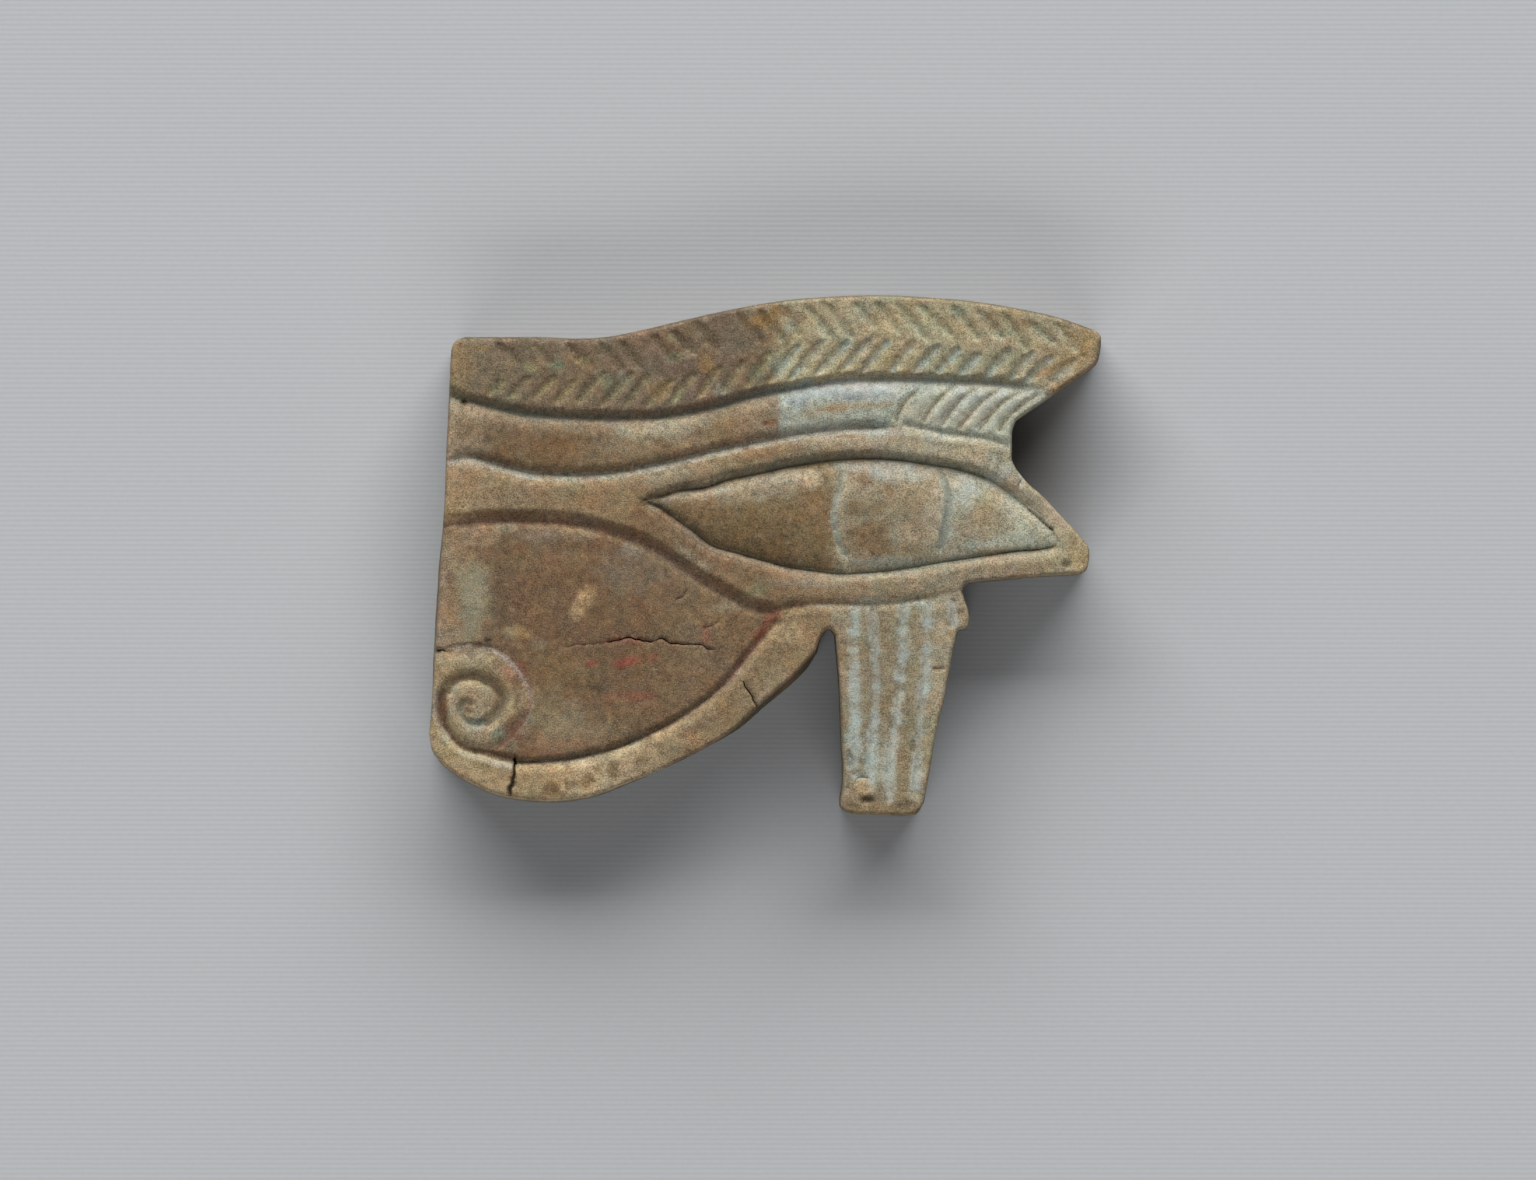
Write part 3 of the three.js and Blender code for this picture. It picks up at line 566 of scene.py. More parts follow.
def crack_relief(survey):
    """Narrow cracks with sharp sides; the first one runs out over the edge."""
    drop = np.zeros(len(survey.spots))
    uneven = 1 + 0.5 * noise(survey.spots, 0.8, 3)
    for number, (line, (_, widths, depth, _)) in enumerate(zip(cracks, CRACKS)):
        distance, _, share = nearest(line, survey.spots, 1.0)
        width = CRACK_MOUTH * np.interp(share, (0, 1), widths) * uneven
        ends = (0.02, 0) if number == 0 else (0.15, 0.15)
        cut = depth * (distance < width) * fall(distance, width, 0.8) * taper(share, *ends)
        drop = np.maximum(drop, cut)
    return drop


# Chips, worn corners and hollows: pixel position, radii in pixels, drop in millimetres and,
# where it isn't level, the turn in degrees
DENTS = [
    (452, 343, 9, 8, 0.16), (464, 403, 4, 4, 0.3), (437, 651, 5, 4, 0.35), (1096, 338, 6, 10, 0.14),
    (1083, 356, 3, 2.5, 0.16), (1085, 343, 2.5, 2, 0.14), (1021, 478, 5, 9, 0.24, 15),
    (1078, 553, 14, 20, 0.1), (1066, 566, 4, 3, 0.18), (864, 788, 11, 10, -0.1),
    (868, 800, 8, 4, 0.22), (584, 600, 9, 6, -0.08, 50), (937, 669, 8, 3, 0.12, -10),
    (849, 759, 3, 10, 0.16), (913, 747, 3, 9, 0.12), (765, 425, 3, 2.5, 0.14),
    (488, 640, 3, 2.5, 0.12), (545, 341, 30, 5, 0.06), (700, 560, 12, 4, 0.07, 35),
    (905, 806, 14, 5, 0.1), (848, 806, 8, 5, 0.12), (480, 788, 14, 6, 0.1, 30),
    (560, 797, 20, 4, 0.08), (640, 775, 12, 4, 0.08, -20), (690, 755, 9, 4, 0.1, -25),
    (780, 688, 6, 4, 0.1, -40), (1012, 440, 3, 8, 0.1), (960, 615, 5, 6, 0.1),
    (446, 480, 3, 12, 0.1), (439, 590, 3, 9, 0.1), (433, 712, 3, 9, 0.1),
    (660, 325, 14, 3, 0.07, -14), (785, 300, 10, 3, 0.08), (1005, 306, 12, 3, 0.08, 10),
    (1050, 398, 9, 3, 0.08, -35),
]
# Slow unevenness: height and grain in millimetres, seed, layers
UNEVENNESS = [(0.05, 5.0, 1, 3), (0.022, 1.3, 2, 3), (0.01, 0.45, 4, 2)]
PIT_COUNT = 420
PIT_RADII = (0.1, 0.26)
PIT_DEPTHS = (0.03, 0.11)


def blot(spots, x, y, rx, ry, turn=0, ragged=0.0):
    """How far spots lie from the middle of an ellipse, 1 at its edge."""
    angle = math.radians(turn)
    across, up = (spots - placed([(x, y)])[0]).T
    u = (across * math.cos(angle) + up * math.sin(angle)) / (rx * PIXEL)
    v = (up * math.cos(angle) - across * math.sin(angle)) / (ry * PIXEL)
    return np.hypot(u, v) + ragged


def wear(survey):
    """Dents, pits and slow unevenness."""
    spots = survey.spots
    ragged = 0.25 * cloud(spots, 1.3, 8)
    drop = sum(height * cloud(spots, *grain) for height, *grain in UNEVENNESS)
    for x, y, rx, ry, depth, *turn in DENTS:
        reach = blot(spots, x, y, rx, ry, *turn, ragged=ragged)
        drop += depth * ease(-reach, -1.15, -0.45)
    rng = np.random.default_rng(SEED + 1)
    middles = np.column_stack([rng.uniform(LOW[k], HIGH[k], PIT_COUNT) for k in (0, 1)])
    radii = rng.uniform(*PIT_RADII, PIT_COUNT)
    depths = rng.uniform(*PIT_DEPTHS, PIT_COUNT)
    for middle, radius, depth in zip(middles, radii, depths):
        near = np.flatnonzero(np.abs(spots - middle).max(1) < radius)
        reach = np.linalg.norm(spots[near] - middle, axis=1) / radius
        drop[near] += depth * (1 - ease(reach, 0.2, 1))
    return drop


def relief(survey):
    """Drop of the face at each spot, in millimetres."""
    parts = bar_relief(survey) + small_relief(survey)
    outside = ~survey.within("almond")
    open_share = eye_span(survey)[1]
    depth = (EYE_DEPTH * open_share + EYE_CORNER_DEPTH * (1 - open_share)) * outside
    parts.append(valley(survey.to("eye_upper"), depth, (0.9, 1.9), CLOSED, (0.02, 0.2), 0.1))
    parts.append(valley(survey.to("eye_lower"), depth, CLOSED, (1.0, 1.6), (0.02, 0.02)))
    parts.append(CHEEK_LEVEL * survey.within("cheek")
                 + LEG_LEVEL * survey.within("leg"))
    ball = eyeball(survey) - iris_swell(survey)
    for name in ("iris_left", "iris_right"):
        ball += trough(survey.to(name), RING_DEPTH, 0.5, (0.08, 0.08))
    total = sum(np.maximum(part, 0) ** BLEND_POWER for part in parts)
    total = np.where(outside, total ** (1 / BLEND_POWER), ball)
    edge = np.clip(1 - (survey.edge() - FRONT_INSET) / EDGE_RADIUS, 0, 1)
    rounding = EDGE_DROP * (1 - np.sqrt(np.clip(1 - edge**2, 0, 1)))
    uneven = 1 + 0.1 * cloud(survey.spots, 3.0, 6, 2)
    return total * uneven + rounding + wear(survey) + crack_relief(survey) + FACE_MARGIN


# Body mesh


def hex_grid(step):
    rows = np.arange(LOW[1], HIGH[1], step * math.sqrt(0.75))
    x, y = np.meshgrid(np.arange(LOW[0], HIGH[0], step), rows)
    x[1::2] += step / 2
    return np.column_stack([x.ravel(), y.ravel()])


def left_of(ahead):
    """Unit vectors to the left of the given directions."""
    normal = np.column_stack([-ahead[:, 1], ahead[:, 0]])
    return normal / np.linalg.norm(normal, axis=1)[:, None]


def line_spots():
    """Spots along the bottoms of all lines, so that each bottom is an edge of the mesh."""
    spots = np.vstack([even(line, FINE_STEP) for line in cut_lines])
    return np.vstack([spots - wobble(spots), *(even(line, CRACK_STEP) for line in cracks)])


def crack_spots():
    """Spots on both sides of each crack."""
    found = []
    for line, (_, widths, *_) in zip(cracks, CRACKS):
        run = even(line, CRACK_SIDE_STEP)
        width = np.linspace(*widths, len(run))[:, None]
        for offset in (-CRACK_MOUTH, -CRACK_FLOOR, CRACK_FLOOR, CRACK_MOUTH):
            found.append(run + offset * width * left_of(np.gradient(run, axis=0)))
    return np.vstack(found)


def front_spots(ring):
    """Spots of the front, dense beside the lines and the edge and wider apart elsewhere."""
    own = np.vstack([line_spots(), crack_spots()])
    own = own[inside(ring, own)]
    own = own[Survey(own).edge() > FRONT_INSET + FINE_STEP * 0.6]
    chosen = [own]
    for step, fine in ((FINE_STEP, True), (COARSE_STEP, False)):
        spots = hex_grid(step)
        spots = spots[inside(ring, spots)]
        gap = gap_to(cut_lines, spots + wobble(spots), FINE_REACH)
        cracked = gap_to(cracks, spots, FINE_REACH)
        edge = Survey(spots).edge() - FRONT_INSET
        dense = (gap < FINE_REACH) | (cracked < CRACK_REACH) | (edge < EDGE_RADIUS)
        clear = (gap > FINE_STEP / 2) & (cracked > CRACK_CLEARANCE) & (edge > FINE_STEP * 0.7)
        chosen.append(spots[clear & (dense == fine)])
    return np.vstack(chosen)


def triangulated(ring, spots):
    """Triangles over a ring and the spots inside it: positions, triangles, places of the ring."""
    count = len(ring)
    points = [Vector(p) for p in np.vstack([ring, spots])]
    edges = [(i, (i + 1) % count) for i in range(count)]
    found = delaunay_2d_cdt(points, edges, [], 1, TOLERANCE)
    positions = np.array([tuple(v) for v in found[0]])
    triangles = np.array(found[2])
    place = np.full(count, -1)
    for new, olds in enumerate(found[3]):
        for old in olds:
            if old < count:
                place[old] = new
    a, b, c = (positions[triangles[:, k]] for k in range(3))
    turn = (b[:, 0] - a[:, 0]) * (c[:, 1] - a[:, 1]) - (b[:, 1] - a[:, 1]) * (c[:, 0] - a[:, 0])
    triangles[turn < 0] = triangles[turn < 0][:, ::-1]
    return positions, triangles, place


# Wall from the front edge to the back: share of the height, and inset from the outline
WALL = [(0.985, 0.15), (0.96, 0.1), (0.92, 0.07), (0.86, 0.05), (0.78, 0.04), (0.68, 0.03),
        (0.57, 0.03), (0.46, 0.01), (0.35, 0.0), (0.25, 0.0), (0.16, 0.0), (0.09, 0.02),
        (0.045, 0.06), (0.018, 0.14), (0.004, 0.26), (0.0, 0.42)]
WALL_ROUGHNESS = 0.035
# How far the pattern of the wall and of its colours shifts per millimetre of height
WALL_DRIFT = np.array([0.8, 0.55])
COLOR_DRIFT = np.array([0.75, 0.6])
BACK_HOLLOW = 0.07
# Paths along which the side spreads below the face, and how far, with the share of the path over
# which each end runs out
RIM_SIDE = [(820, 643), (817, 652), (795, 676), (763, 704), (735, 730.4), (701, 751.2)]
LEFT_SIDE = [(444, 480), (442.6, 521), (438.3, 578.7), (434, 651), (430.8, 699)]
LIT_SIDE = [(661.5, 770.8), (627, 784.6), (592, 797.3), (555, 802.4), (514, 799.6),
            (489.6, 793.3), (461, 778.8), (442, 766), (431.3, 751), (428.2, 734)]
FLARES = [(RIM_SIDE, 0.42, 0.2, 0.6), (LEFT_SIDE, 0.2, 0.4, 0.2), (LIT_SIDE, 0.13, 0.2, 0.2)]


def body_mesh():
    """The front over its ring, the wall row by row, and the back: positions and faces."""
    normals = left_of(np.roll(outline, -2, axis=0) - np.roll(outline, 2, axis=0))
    flare = np.zeros(len(outline))
    for points, amount, start, end in FLARES:
        distance, _, share = nearest(line_of(points), outline)
        flare += amount * (distance < 0.6) * taper(share, start, end)
    ring = outline + FRONT_INSET * normals
    plan, triangles, place = triangulated(ring, front_spots(ring))
    z = FACE - relief(Survey(plan))
    positions = [np.column_stack([plan, z])]
    faces = [triangles]
    upper = place
    total = len(plan)
    count = len(ring)
    for share, inset in WALL:
        height = z[place] * share
        drift = outline + height[:, None] * WALL_DRIFT
        rough = WALL_ROUGHNESS * (0.8 + cloud(drift, 1.6, 12)) * (share > 0)
        spread = flare * ease(-share, -0.97, -0.6)
        row = outline + normals * (inset + rough - spread)[:, None]
        positions.append(np.column_stack([row, height]))
        lower = total + np.arange(count)
        faces.append(np.column_stack([lower, np.roll(lower, -1), np.roll(upper, -1), upper]))
        upper = lower
        total += count
    spots = hex_grid(BACK_STEP)
    spots = spots[inside(row, spots)]
    spots = spots[Survey(spots).edge() > WALL[-1][1] + BACK_STEP / 2]
    back, triangles, place = triangulated(row, spots)
    hollow = np.clip(BACK_HOLLOW * cloud(back, 7.0, 14), 0, None)
    hollow[place] = 0
    order = total + np.arange(len(back))
    order[place] = upper
    positions.append(np.column_stack([back, hollow]))
    faces.append(order[triangles][:, ::-1])
    return np.vstack(positions), faces


def mesh_object(name, positions, faces):
    """A mesh object in metres from positions in millimetres; unused points are dropped."""
    listed = [face for part in faces for face in part.tolist()]
    used = np.unique(np.concatenate([part.ravel() for part in faces]))
    new = np.full(len(positions), -1)
    new[used] = np.arange(len(used))
    mesh = bpy.data.meshes.new(name)
    mesh.from_pydata((positions[used] * MM).tolist(), [], [new[face].tolist() for face in listed])
    mesh.validate()
    obj = bpy.data.objects.new(name, mesh)
    bpy.context.scene.collection.objects.link(obj)
    return obj


def bore_tool():
    """Round rod through the stringing hole, from the left side to the notch."""
    x = np.linspace(LOW[0] - 1, placed([(1040, 445)])[0, 0], BORE_STATIONS)
    turn = np.arange(BORE_SIDES) * 2 * math.pi / BORE_SIDES
    ring = BORE_CENTRE + BORE_RADIUS * np.column_stack([np.cos(turn), np.sin(turn)])
    positions = np.column_stack([np.repeat(x, BORE_SIDES), np.tile(ring, (BORE_STATIONS, 1))])
    here = np.arange(BORE_SIDES)
    after = np.roll(here, -1)
    strip = np.column_stack([here, here + BORE_SIDES, after + BORE_SIDES, after])
    walls = [strip + BORE_SIDES * k for k in range(BORE_STATIONS - 1)]
    last = BORE_SIDES * (BORE_STATIONS - 1)
    return mesh_object("bore_tool", positions, [*walls, here[None, :], last + here[None, ::-1]])


def drilled(obj):
    """The body with its stringing hole cut."""
    tool = bore_tool()
    bore = obj.modifiers.new("bore", "BOOLEAN")
    bore.operation = "DIFFERENCE"
    bore.solver = "MANIFOLD"
    bore.object = tool
    depsgraph = bpy.context.evaluated_depsgraph_get()
    mesh = bpy.data.meshes.new_from_object(obj.evaluated_get(depsgraph))
    obj.modifiers.clear()
    obj.data = mesh
    bpy.data.objects.remove(tool)
    return obj


# Colours, as sRGB from 0 to 255

TONES = {
    "umber": (117, 104, 83), "plum": (108, 92, 77), "brow_right": (156, 147, 121),
    "brow_tip": (150, 132, 100), "crust": (136, 121, 90), "orange_brown": (138, 108, 68),
    "rust": (122, 88, 54), "band_pale": (146, 129, 106), "band_tan": (119, 100, 78),
    "band_dark": (111, 87, 60), "speckle": (155, 146, 126), "band_orange": (136, 121, 98),
    "band_blue": (143, 152, 154), "tan_strip": (152, 143, 120), "tan_orange": (146, 122, 90),
    "low_blue": (154, 160, 148), "feather": (164, 168, 154), "white_blue": (180, 184, 178),
    "lid_left": (156, 133, 102), "lid_mid": (135, 115, 89), "lid_orange": (130, 112, 87),
    # On this line and the next: the pale top of the eye's white is a painted highlight, and its
    # dark low tone is its own colour with painted shade
    "lid_right": (158, 151, 131), "lid_top": (172, 172, 160), "sclera_top": (188, 173, 148),
    "sclera": (118, 98, 70), "sclera_low": (101, 83, 56), "olive": (104, 90, 62),
    "iris": (142, 129, 106), "iris_side": (160, 150, 128), "iris_top": (148, 150, 139),
    "iris_brown": (114, 94, 68), "white": (160, 158, 144), "white_tan": (154, 143, 119),
    "white_low": (178, 184, 168), "lower_lid": (121, 99, 75), "lower_lid_right": (137, 125, 104),
    "eye_tip": (165, 154, 127), "field_top": (148, 127, 104), "field": (110, 87, 65),
    "field_low": (116, 97, 74), "field_dark": (96, 78, 58), "patch_green": (140, 134, 110),
    "patch_pale": (150, 146, 124), "red": (112, 76, 62), "red_bright": (132, 72, 58),
    "rim": (172, 157, 130), "rim_right": (133, 113, 86), "rim_low": (152, 136, 104),
    "rim_stain": (106, 85, 58), "pink": (158, 140, 126), "spiral": (153, 138, 111),
    "teal": (112, 124, 110), "leg": (144, 132, 109), "leg_blue": (162, 169, 163),
    "leg_right": (154, 144, 121), "leg_low": (136, 122, 92), "stroke": (140, 150, 132),
    "stroke_blue": (146, 158, 152), "stroke_left": (138, 132, 96), "green": (122, 128, 100),
    # On the next line, both grime tones also serve as painted shade, and the pale last one also as
    # a painted highlight
    "dirt_and_shade": (70, 62, 46), "dirt_and_shade_grey": (74, 77, 68), "bare_and_highlight": (172, 158, 134),
    "chip": (184, 160, 122), "wall": (96, 82, 62), "wall_low": (84, 73, 56), "dark": (58, 49, 36),
    # On the next line, the tone of the bevels is a painted highlight
    "blue_groove": (98, 106, 100), "bevel": (160, 148, 126), "ochre": (150, 124, 80),
    # On the next three lines, the dark olive and the plum red also serve as painted shade, and the
    # tones of the top edge and under the rim are painted shade
    "grey": (140, 138, 126), "stain": (84, 62, 48), "olive_and_shade": (92, 78, 56),
    "ring": (118, 124, 112), "white_pink": (166, 154, 142), "plum_red_and_shade": (80, 54, 46),
    "top_edge_shade": (74, 66, 56), "under_rim_shade": (70, 68, 52), "leg_mid": (133, 122, 99),
}


def linear(tone):
    value = np.array(tone, float) / 255
    return np.where(value <= 0.04045, value / 12.92, ((value + 0.055) / 1.055) ** 2.4)


PALETTE = {name: linear(tone) for name, tone in TONES.items()}

# Tones of each zone from left to right, by pixel, in the order the zones are laid
STOPS = {
    "lid": [(440, "lid_left"), (520, "lid_mid"), (690, "lid_mid"), (730, "lid_orange"),
            (850, "lid_orange"), (900, "lid_right"), (1040, "lid_right"), (1075, "eye_tip")],
    "lower": [(640, "lower_lid"), (760, "lower_lid"), (830, "lid_mid"), (900, "lower_lid_right"),
              (1010, "lower_lid_right"), (1060, "eye_tip")],
    "rim": [(430, "rim_low"), (530, "rim_low"), (580, "rim"), (720, "rim_right"),
            (830, "rim_right")],
    "leg": [(835, "leg"), (870, "leg_mid"), (905, "leg_mid"), (935, "leg_right")],
    "band": [(450, "band_pale"), (492, "band_tan"), (720, "band_tan"), (750, "band_orange"),
             (777, "band_orange"), (782, "low_blue"), (1010, "low_blue")],
    "brow": [(450, "crust"), (478, "umber"), (700, "plum"), (766, "umber"), (786, "brow_right"),
             (1035, "brow_right"), (1075, "brow_tip")],
    "field": [(440, "field_top"), (500, "field"), (640, "field"), (700, "field_low"),
              (780, "field")],
    "spiral": [(440, "spiral")],
    "eye": [(650, "sclera"), (825, "sclera"), (845, "iris_side"), (860, "iris"), (915, "iris"),
            (935, "iris_side"), (952, "white"), (985, "white_tan"), (1050, "white_low")],
}

# Patches in the order they are laid: tone, then pixel position, radii in pixels, strength and,
# where it isn't level, the turn in degrees
PATCHES = [
    ("rim_stain", [(551, 787, 10, 6, 0.8, 20), (562, 780, 7, 3, 0.6, -20),
        (573, 784, 9, 3.5, 0.6, 10), (588, 780, 11, 6, 0.65, 40), (598, 771, 5, 7, 0.5, 10),
        (613, 769, 5.5, 8, 0.75, 20), (640, 760, 8, 5, 0.6, 20), (535, 795, 40, 5, 0.4),
        (690, 752, 40, 5, 0.3, 26), (755, 712, 24, 4, 0.35, 42)]),
    ("red_bright", [(628, 662, 17, 5, 0.8, 12), (628, 697, 32, 5, 0.65, 2),
        (592, 663, 9, 4, 0.8, 15), (762, 630, 13, 4.5, 0.75, 52), (775, 615, 10, 6, 0.5),
        (515, 672, 12, 14, 0.5, -40), (654, 657, 7, 6, 0.45), (706, 634, 7, 9, 0.35),
        (625, 640, 26, 4, 0.4)]),
    ("iris_brown", [(865, 480, 8, 6, 0.6), (889, 490, 6, 11, 0.7), (866, 508, 24, 8, 0.55),
        (872, 540, 22, 19, 0.75), (850, 525, 9, 28, 0.45)]),
    ("teal", [(1032, 372, 8, 4, 0.6, 30), (480, 722, 7, 5, 0.7), (455, 690, 6, 7, 0.55),
        (497, 733, 8, 5, 0.5, 30)]),
    ("patch_pale", [(477, 588, 14, 20, 0.35), (466, 632, 15, 12, 0.25), (504, 528, 13, 6, 0.5),
        (511, 633, 10, 7, 0.45)]),
    ("lid_top", [(880, 432, 40, 4, 0.55), (945, 438, 44, 4, 0.75, -5),
        (900, 603, 56, 4, 0.5, -4)]),
    ("iris_top", [(890, 466, 40, 8, 0.8), (905, 476, 36, 8, 0.7), (890, 562, 40, 6, 0.7)]),
    ("leg_right", [(888, 650, 9, 40, 0.4), (920, 755, 10, 26, 0.5), (908, 640, 8, 34, 0.35)]),
    ("orange_brown", [(482, 347, 11, 6, 0.5), (765, 318, 20, 11, 0.9, 20)]),
    ("stroke_left", [(531, 368, 7, 5, 0.6), (582, 361, 8, 4, 0.6)]),
    ("band_dark", [(545, 452, 52, 15, 0.75), (510, 440, 26, 8, 0.4, -10)]),
    ("band_pale", [(795, 306, 9, 6, 0.5), (476, 412, 24, 9, 0.7, -8), (545, 420, 40, 6, 0.4),
        (630, 448, 30, 8, 0.45)]),
    ("band_blue", [(850, 391, 72, 11, 1, 3), (800, 398, 22, 9, 0.9, 8)]),
    ("green", [(673, 338, 8, 5, 0.6, -30), (556, 365, 9, 5, 0.6), (608, 384, 7, 8, 0.45),
        (675, 357, 12, 5, 0.5), (757, 372, 10, 6, 0.5, 30), (910, 362, 120, 9, 0.35, 3),
        (1008, 330, 9, 6, 0.45), (795, 414, 14, 8, 0.25), (757, 590, 12, 9, 0.45, 20)]),
    ("lid_orange", [(680, 566, 44, 8, 0.5, -35), (735, 580, 30, 6, 0.4, -18)]),
    ("pink", [(610, 422, 14, 5, 0.35)]),
    ("lid_right", [(845, 443, 50, 9, 0.7)]),
    ("lid_left", [(540, 481, 44, 8, 0.65)]),
    ("lower_lid_right", [(1010, 568, 40, 5, 0.5, 4)]),
    # The dark lower left of the eye's white: its own darker colour with painted shade
    ("sclera_low", [(760, 538, 66, 20, 0.6, -10)]),
    ("white_tan", [(975, 518, 34, 15, 0.7)]),
    ("white_low", [(1000, 543, 42, 7, 0.8, 5)]),
    ("iris_side", [(905, 482, 18, 10, 0.5), (905, 535, 16, 10, 0.5),
        (1032, 528, 16, 8, 0.5, -40)]),
    ("field_low", [(600, 715, 60, 22, 0.6, 10)]),
    ("field_top", [(475, 535, 28, 12, 0.7), (560, 530, 50, 10, 0.5), (560, 740, 40, 14, 0.35, 8)]),
    ("rim", [(790, 632, 22, 14, 0.4)]),
    ("leg_blue", [(880, 762, 10, 26, 0.5)]),
    ("stroke", [(773, 362, 9, 14, 0.3)]),
    # Pale lines on edges of the bars and the outline: painted highlights
    ("bevel", [(1056, 337, 8, 9, 0.5), (1066, 377, 14, 3, 0.6, 30), (460, 466, 20, 5, 0.5),
        (700, 471, 40, 5, 0.3, 10), (990, 446, 20, 5, 0.5, -15), (695, 560, 26, 4, 0.35, -38),
        (1000, 560, 50, 3, 0.35, 6), (440, 740, 6, 6, 0.5), (501, 763, 14, 6, 0.6),
        (470, 770, 26, 8, 0.35, -30), (470, 688, 16, 5, 0.6), (476, 745, 14, 5, 0.4)]),
    ("rust", [(772, 334, 9, 8, 0.6), (1048, 371, 13, 4, 0.5, 25), (1060, 386, 18, 4, 0.5, 33),
        (1048, 352, 10, 5, 0.3, -30), (462, 404, 6, 5, 0.6), (574, 444, 20, 11, 0.4),
        (770, 424, 7, 5, 0.7), (500, 515, 50, 4, 0.5), (467, 709, 6, 6, 0.4),
        (937, 669, 8, 2.5, 0.6, -10), (765, 453, 40, 7, 0.25, -12)]),
    ("umber", [(700, 350, 14, 8, 0.5, 30), (690, 328, 22, 8, 0.7, -14), (776, 340, 14, 18, 0.5),
        (826, 320, 9, 7, 0.4, -50), (845, 345, 40, 9, 0.2), (1072, 540, 6, 5, 0.4),
        (1083, 560, 5, 5, 0.4), (655, 744, 42, 7, 0.55, -24), (598, 757, 36, 6, 0.45, -12),
        (548, 762, 28, 6, 0.4, 4), (462, 650, 18, 5, 0.25), (889, 680, 11, 60, 0.22, 2)]),
    ("tan_orange", [(1010, 318, 34, 12, 0.45, 12), (960, 322, 30, 10, 0.25),
        (835, 408, 18, 3.5, 0.85, 5), (803, 545, 15, 11, 0.35), (812, 510, 9, 6, 0.45),
        (955, 545, 9, 12, 0.3), (540, 774, 30, 9, 0.4, 5), (516, 680, 6, 12, 0.5),
        (962, 612, 7, 16, 0.35), (986, 512, 20, 11, 0.35)]),
    ("white_blue", [(880, 388, 40, 7, 0.6), (1021, 478, 4, 8, 0.7, 10), (965, 482, 12, 12, 0.5),
        (853, 742, 6, 24, 0.6), (871, 762, 6, 30, 0.5), (890, 775, 7, 30, 0.5),
        (905, 474, 36, 9, 0.3), (985, 484, 30, 9, 0.45, 28), (890, 467, 60, 5, 0.35),
        (820, 428, 46, 6, 0.25, 2)]),
    ("tan_strip", [(865, 406, 30, 3.5, 0.8, 3), (815, 413, 20, 4, 0.5, 5),
        (905, 407, 8, 9, 0.5, 40), (664, 479, 30, 8, 0.5, 12), (1042, 500, 30, 7, 0.6, -44),
        (775, 680, 26, 10, 0.25, 45)]),
    ("chip", [(583, 600, 20, 9.5, 1, 62), (864, 787, 10, 10, 0.65)]),
    ("dark", [(488, 640, 4, 3, 0.9), (596, 690, 7, 8, 0.5), (868, 800, 9, 5, 0.7),
        (850, 760, 3, 11, 0.4), (913, 748, 3, 9, 0.35)]),
    ("leg_low", [(880, 810, 40, 6, 0.8), (920, 770, 6, 26, 0.4)]),
    ("white_blue", [(885, 397, 26, 5, 0.5)]),
    ("field", [(600, 585, 60, 26, 0.5)]),
    ("leg_mid", [(886, 752, 9, 18, 0.4)]),
    ("ochre", [(660, 390, 14, 11, 0.45, 40), (707, 365, 9, 11, 0.5, 30),
        (930, 300, 22, 4, 0.35, 8), (1058, 363, 18, 5, 0.4, 30), (1089, 340, 12, 16, 0.5),
        (700, 441, 22, 5, 0.3, 12), (1078, 553, 13, 22, 0.35), (520, 632, 16, 7, 0.5)]),
    ("dirt_and_shade", [(1099, 350, 4, 18, 0.6), (458, 341, 12, 6, 0.4, -30), (1066, 563, 5, 4, 0.6),
        (850, 806, 10, 6, 0.4), (905, 808, 14, 5, 0.35), (592, 672, 4, 5, 0.4)]),
    ("speckle", [(690, 353, 8, 4, 0.5), (660, 428, 50, 12, 0.75, 8), (800, 583, 40, 3, 0.35, -6),
        (900, 575, 60, 3, 0.4, 5), (957, 594, 9, 8, 0.45), (735, 604, 34, 7, 0.25, 12),
        (690, 442, 36, 8, 0.25, -14), (560, 536, 60, 8, 0.22, 2)]),
    ("grey", [(598, 373, 6, 5, 0.6), (624, 377, 7, 6, 0.55), (720, 390, 8, 6, 0.5, 30),
        (632, 548, 10, 8, 0.4), (630, 570, 40, 24, 0.22), (810, 582, 34, 6, 0.25, 4)]),
    ("patch_green", [(474, 594, 20, 36, 0.65, 4), (620, 590, 12, 6, 0.2),
        (540, 645, 9, 4, 0.35, 10), (556, 716, 12, 6, 0.3, -20), (535, 695, 7, 12, 0.3),
        (575, 728, 40, 14, 0.22, -12)]),
    ("field_dark", [(500, 592, 12, 32, 0.5), (480, 650, 16, 7, 0.4), (730, 640, 30, 12, 0.3, 30),
        (577, 686, 6, 6, 0.9), (548, 668, 8, 4, 0.4, 20), (566, 676, 6, 5, 0.4)]),
    ("tan_orange", [(720, 428, 18, 9, 0.4, 15), (560, 560, 60, 12, 0.25),
        (464, 366, 13, 24, 0.35)]),
    ("white", [(482, 652, 10, 5, 0.3), (447, 736, 5, 7, 0.6), (475, 726, 14, 6, 0.35)]),
    ("ochre", [(560, 670, 30, 22, 0.2)]),
    ("red", [(795, 603, 12, 4, 0.6), (695, 577, 14, 5, 0.6, -38), (670, 556, 26, 4, 0.4, -36),
        (517, 728, 12, 16, 0.65, 30), (700, 725, 30, 4, 0.4, 30), (497, 700, 7, 14, 0.3)]),
    ("patch_green", [(556, 716, 30, 28, 0.4), (505, 744, 16, 8, 0.4)]),
    ("red", [(505, 745, 10, 6, 0.4, 30)]),
    ("plum", [(740, 337, 28, 14, 0.7), (520, 350, 30, 8, 0.5), (600, 523, 40, 4, 0.5, -12)]),
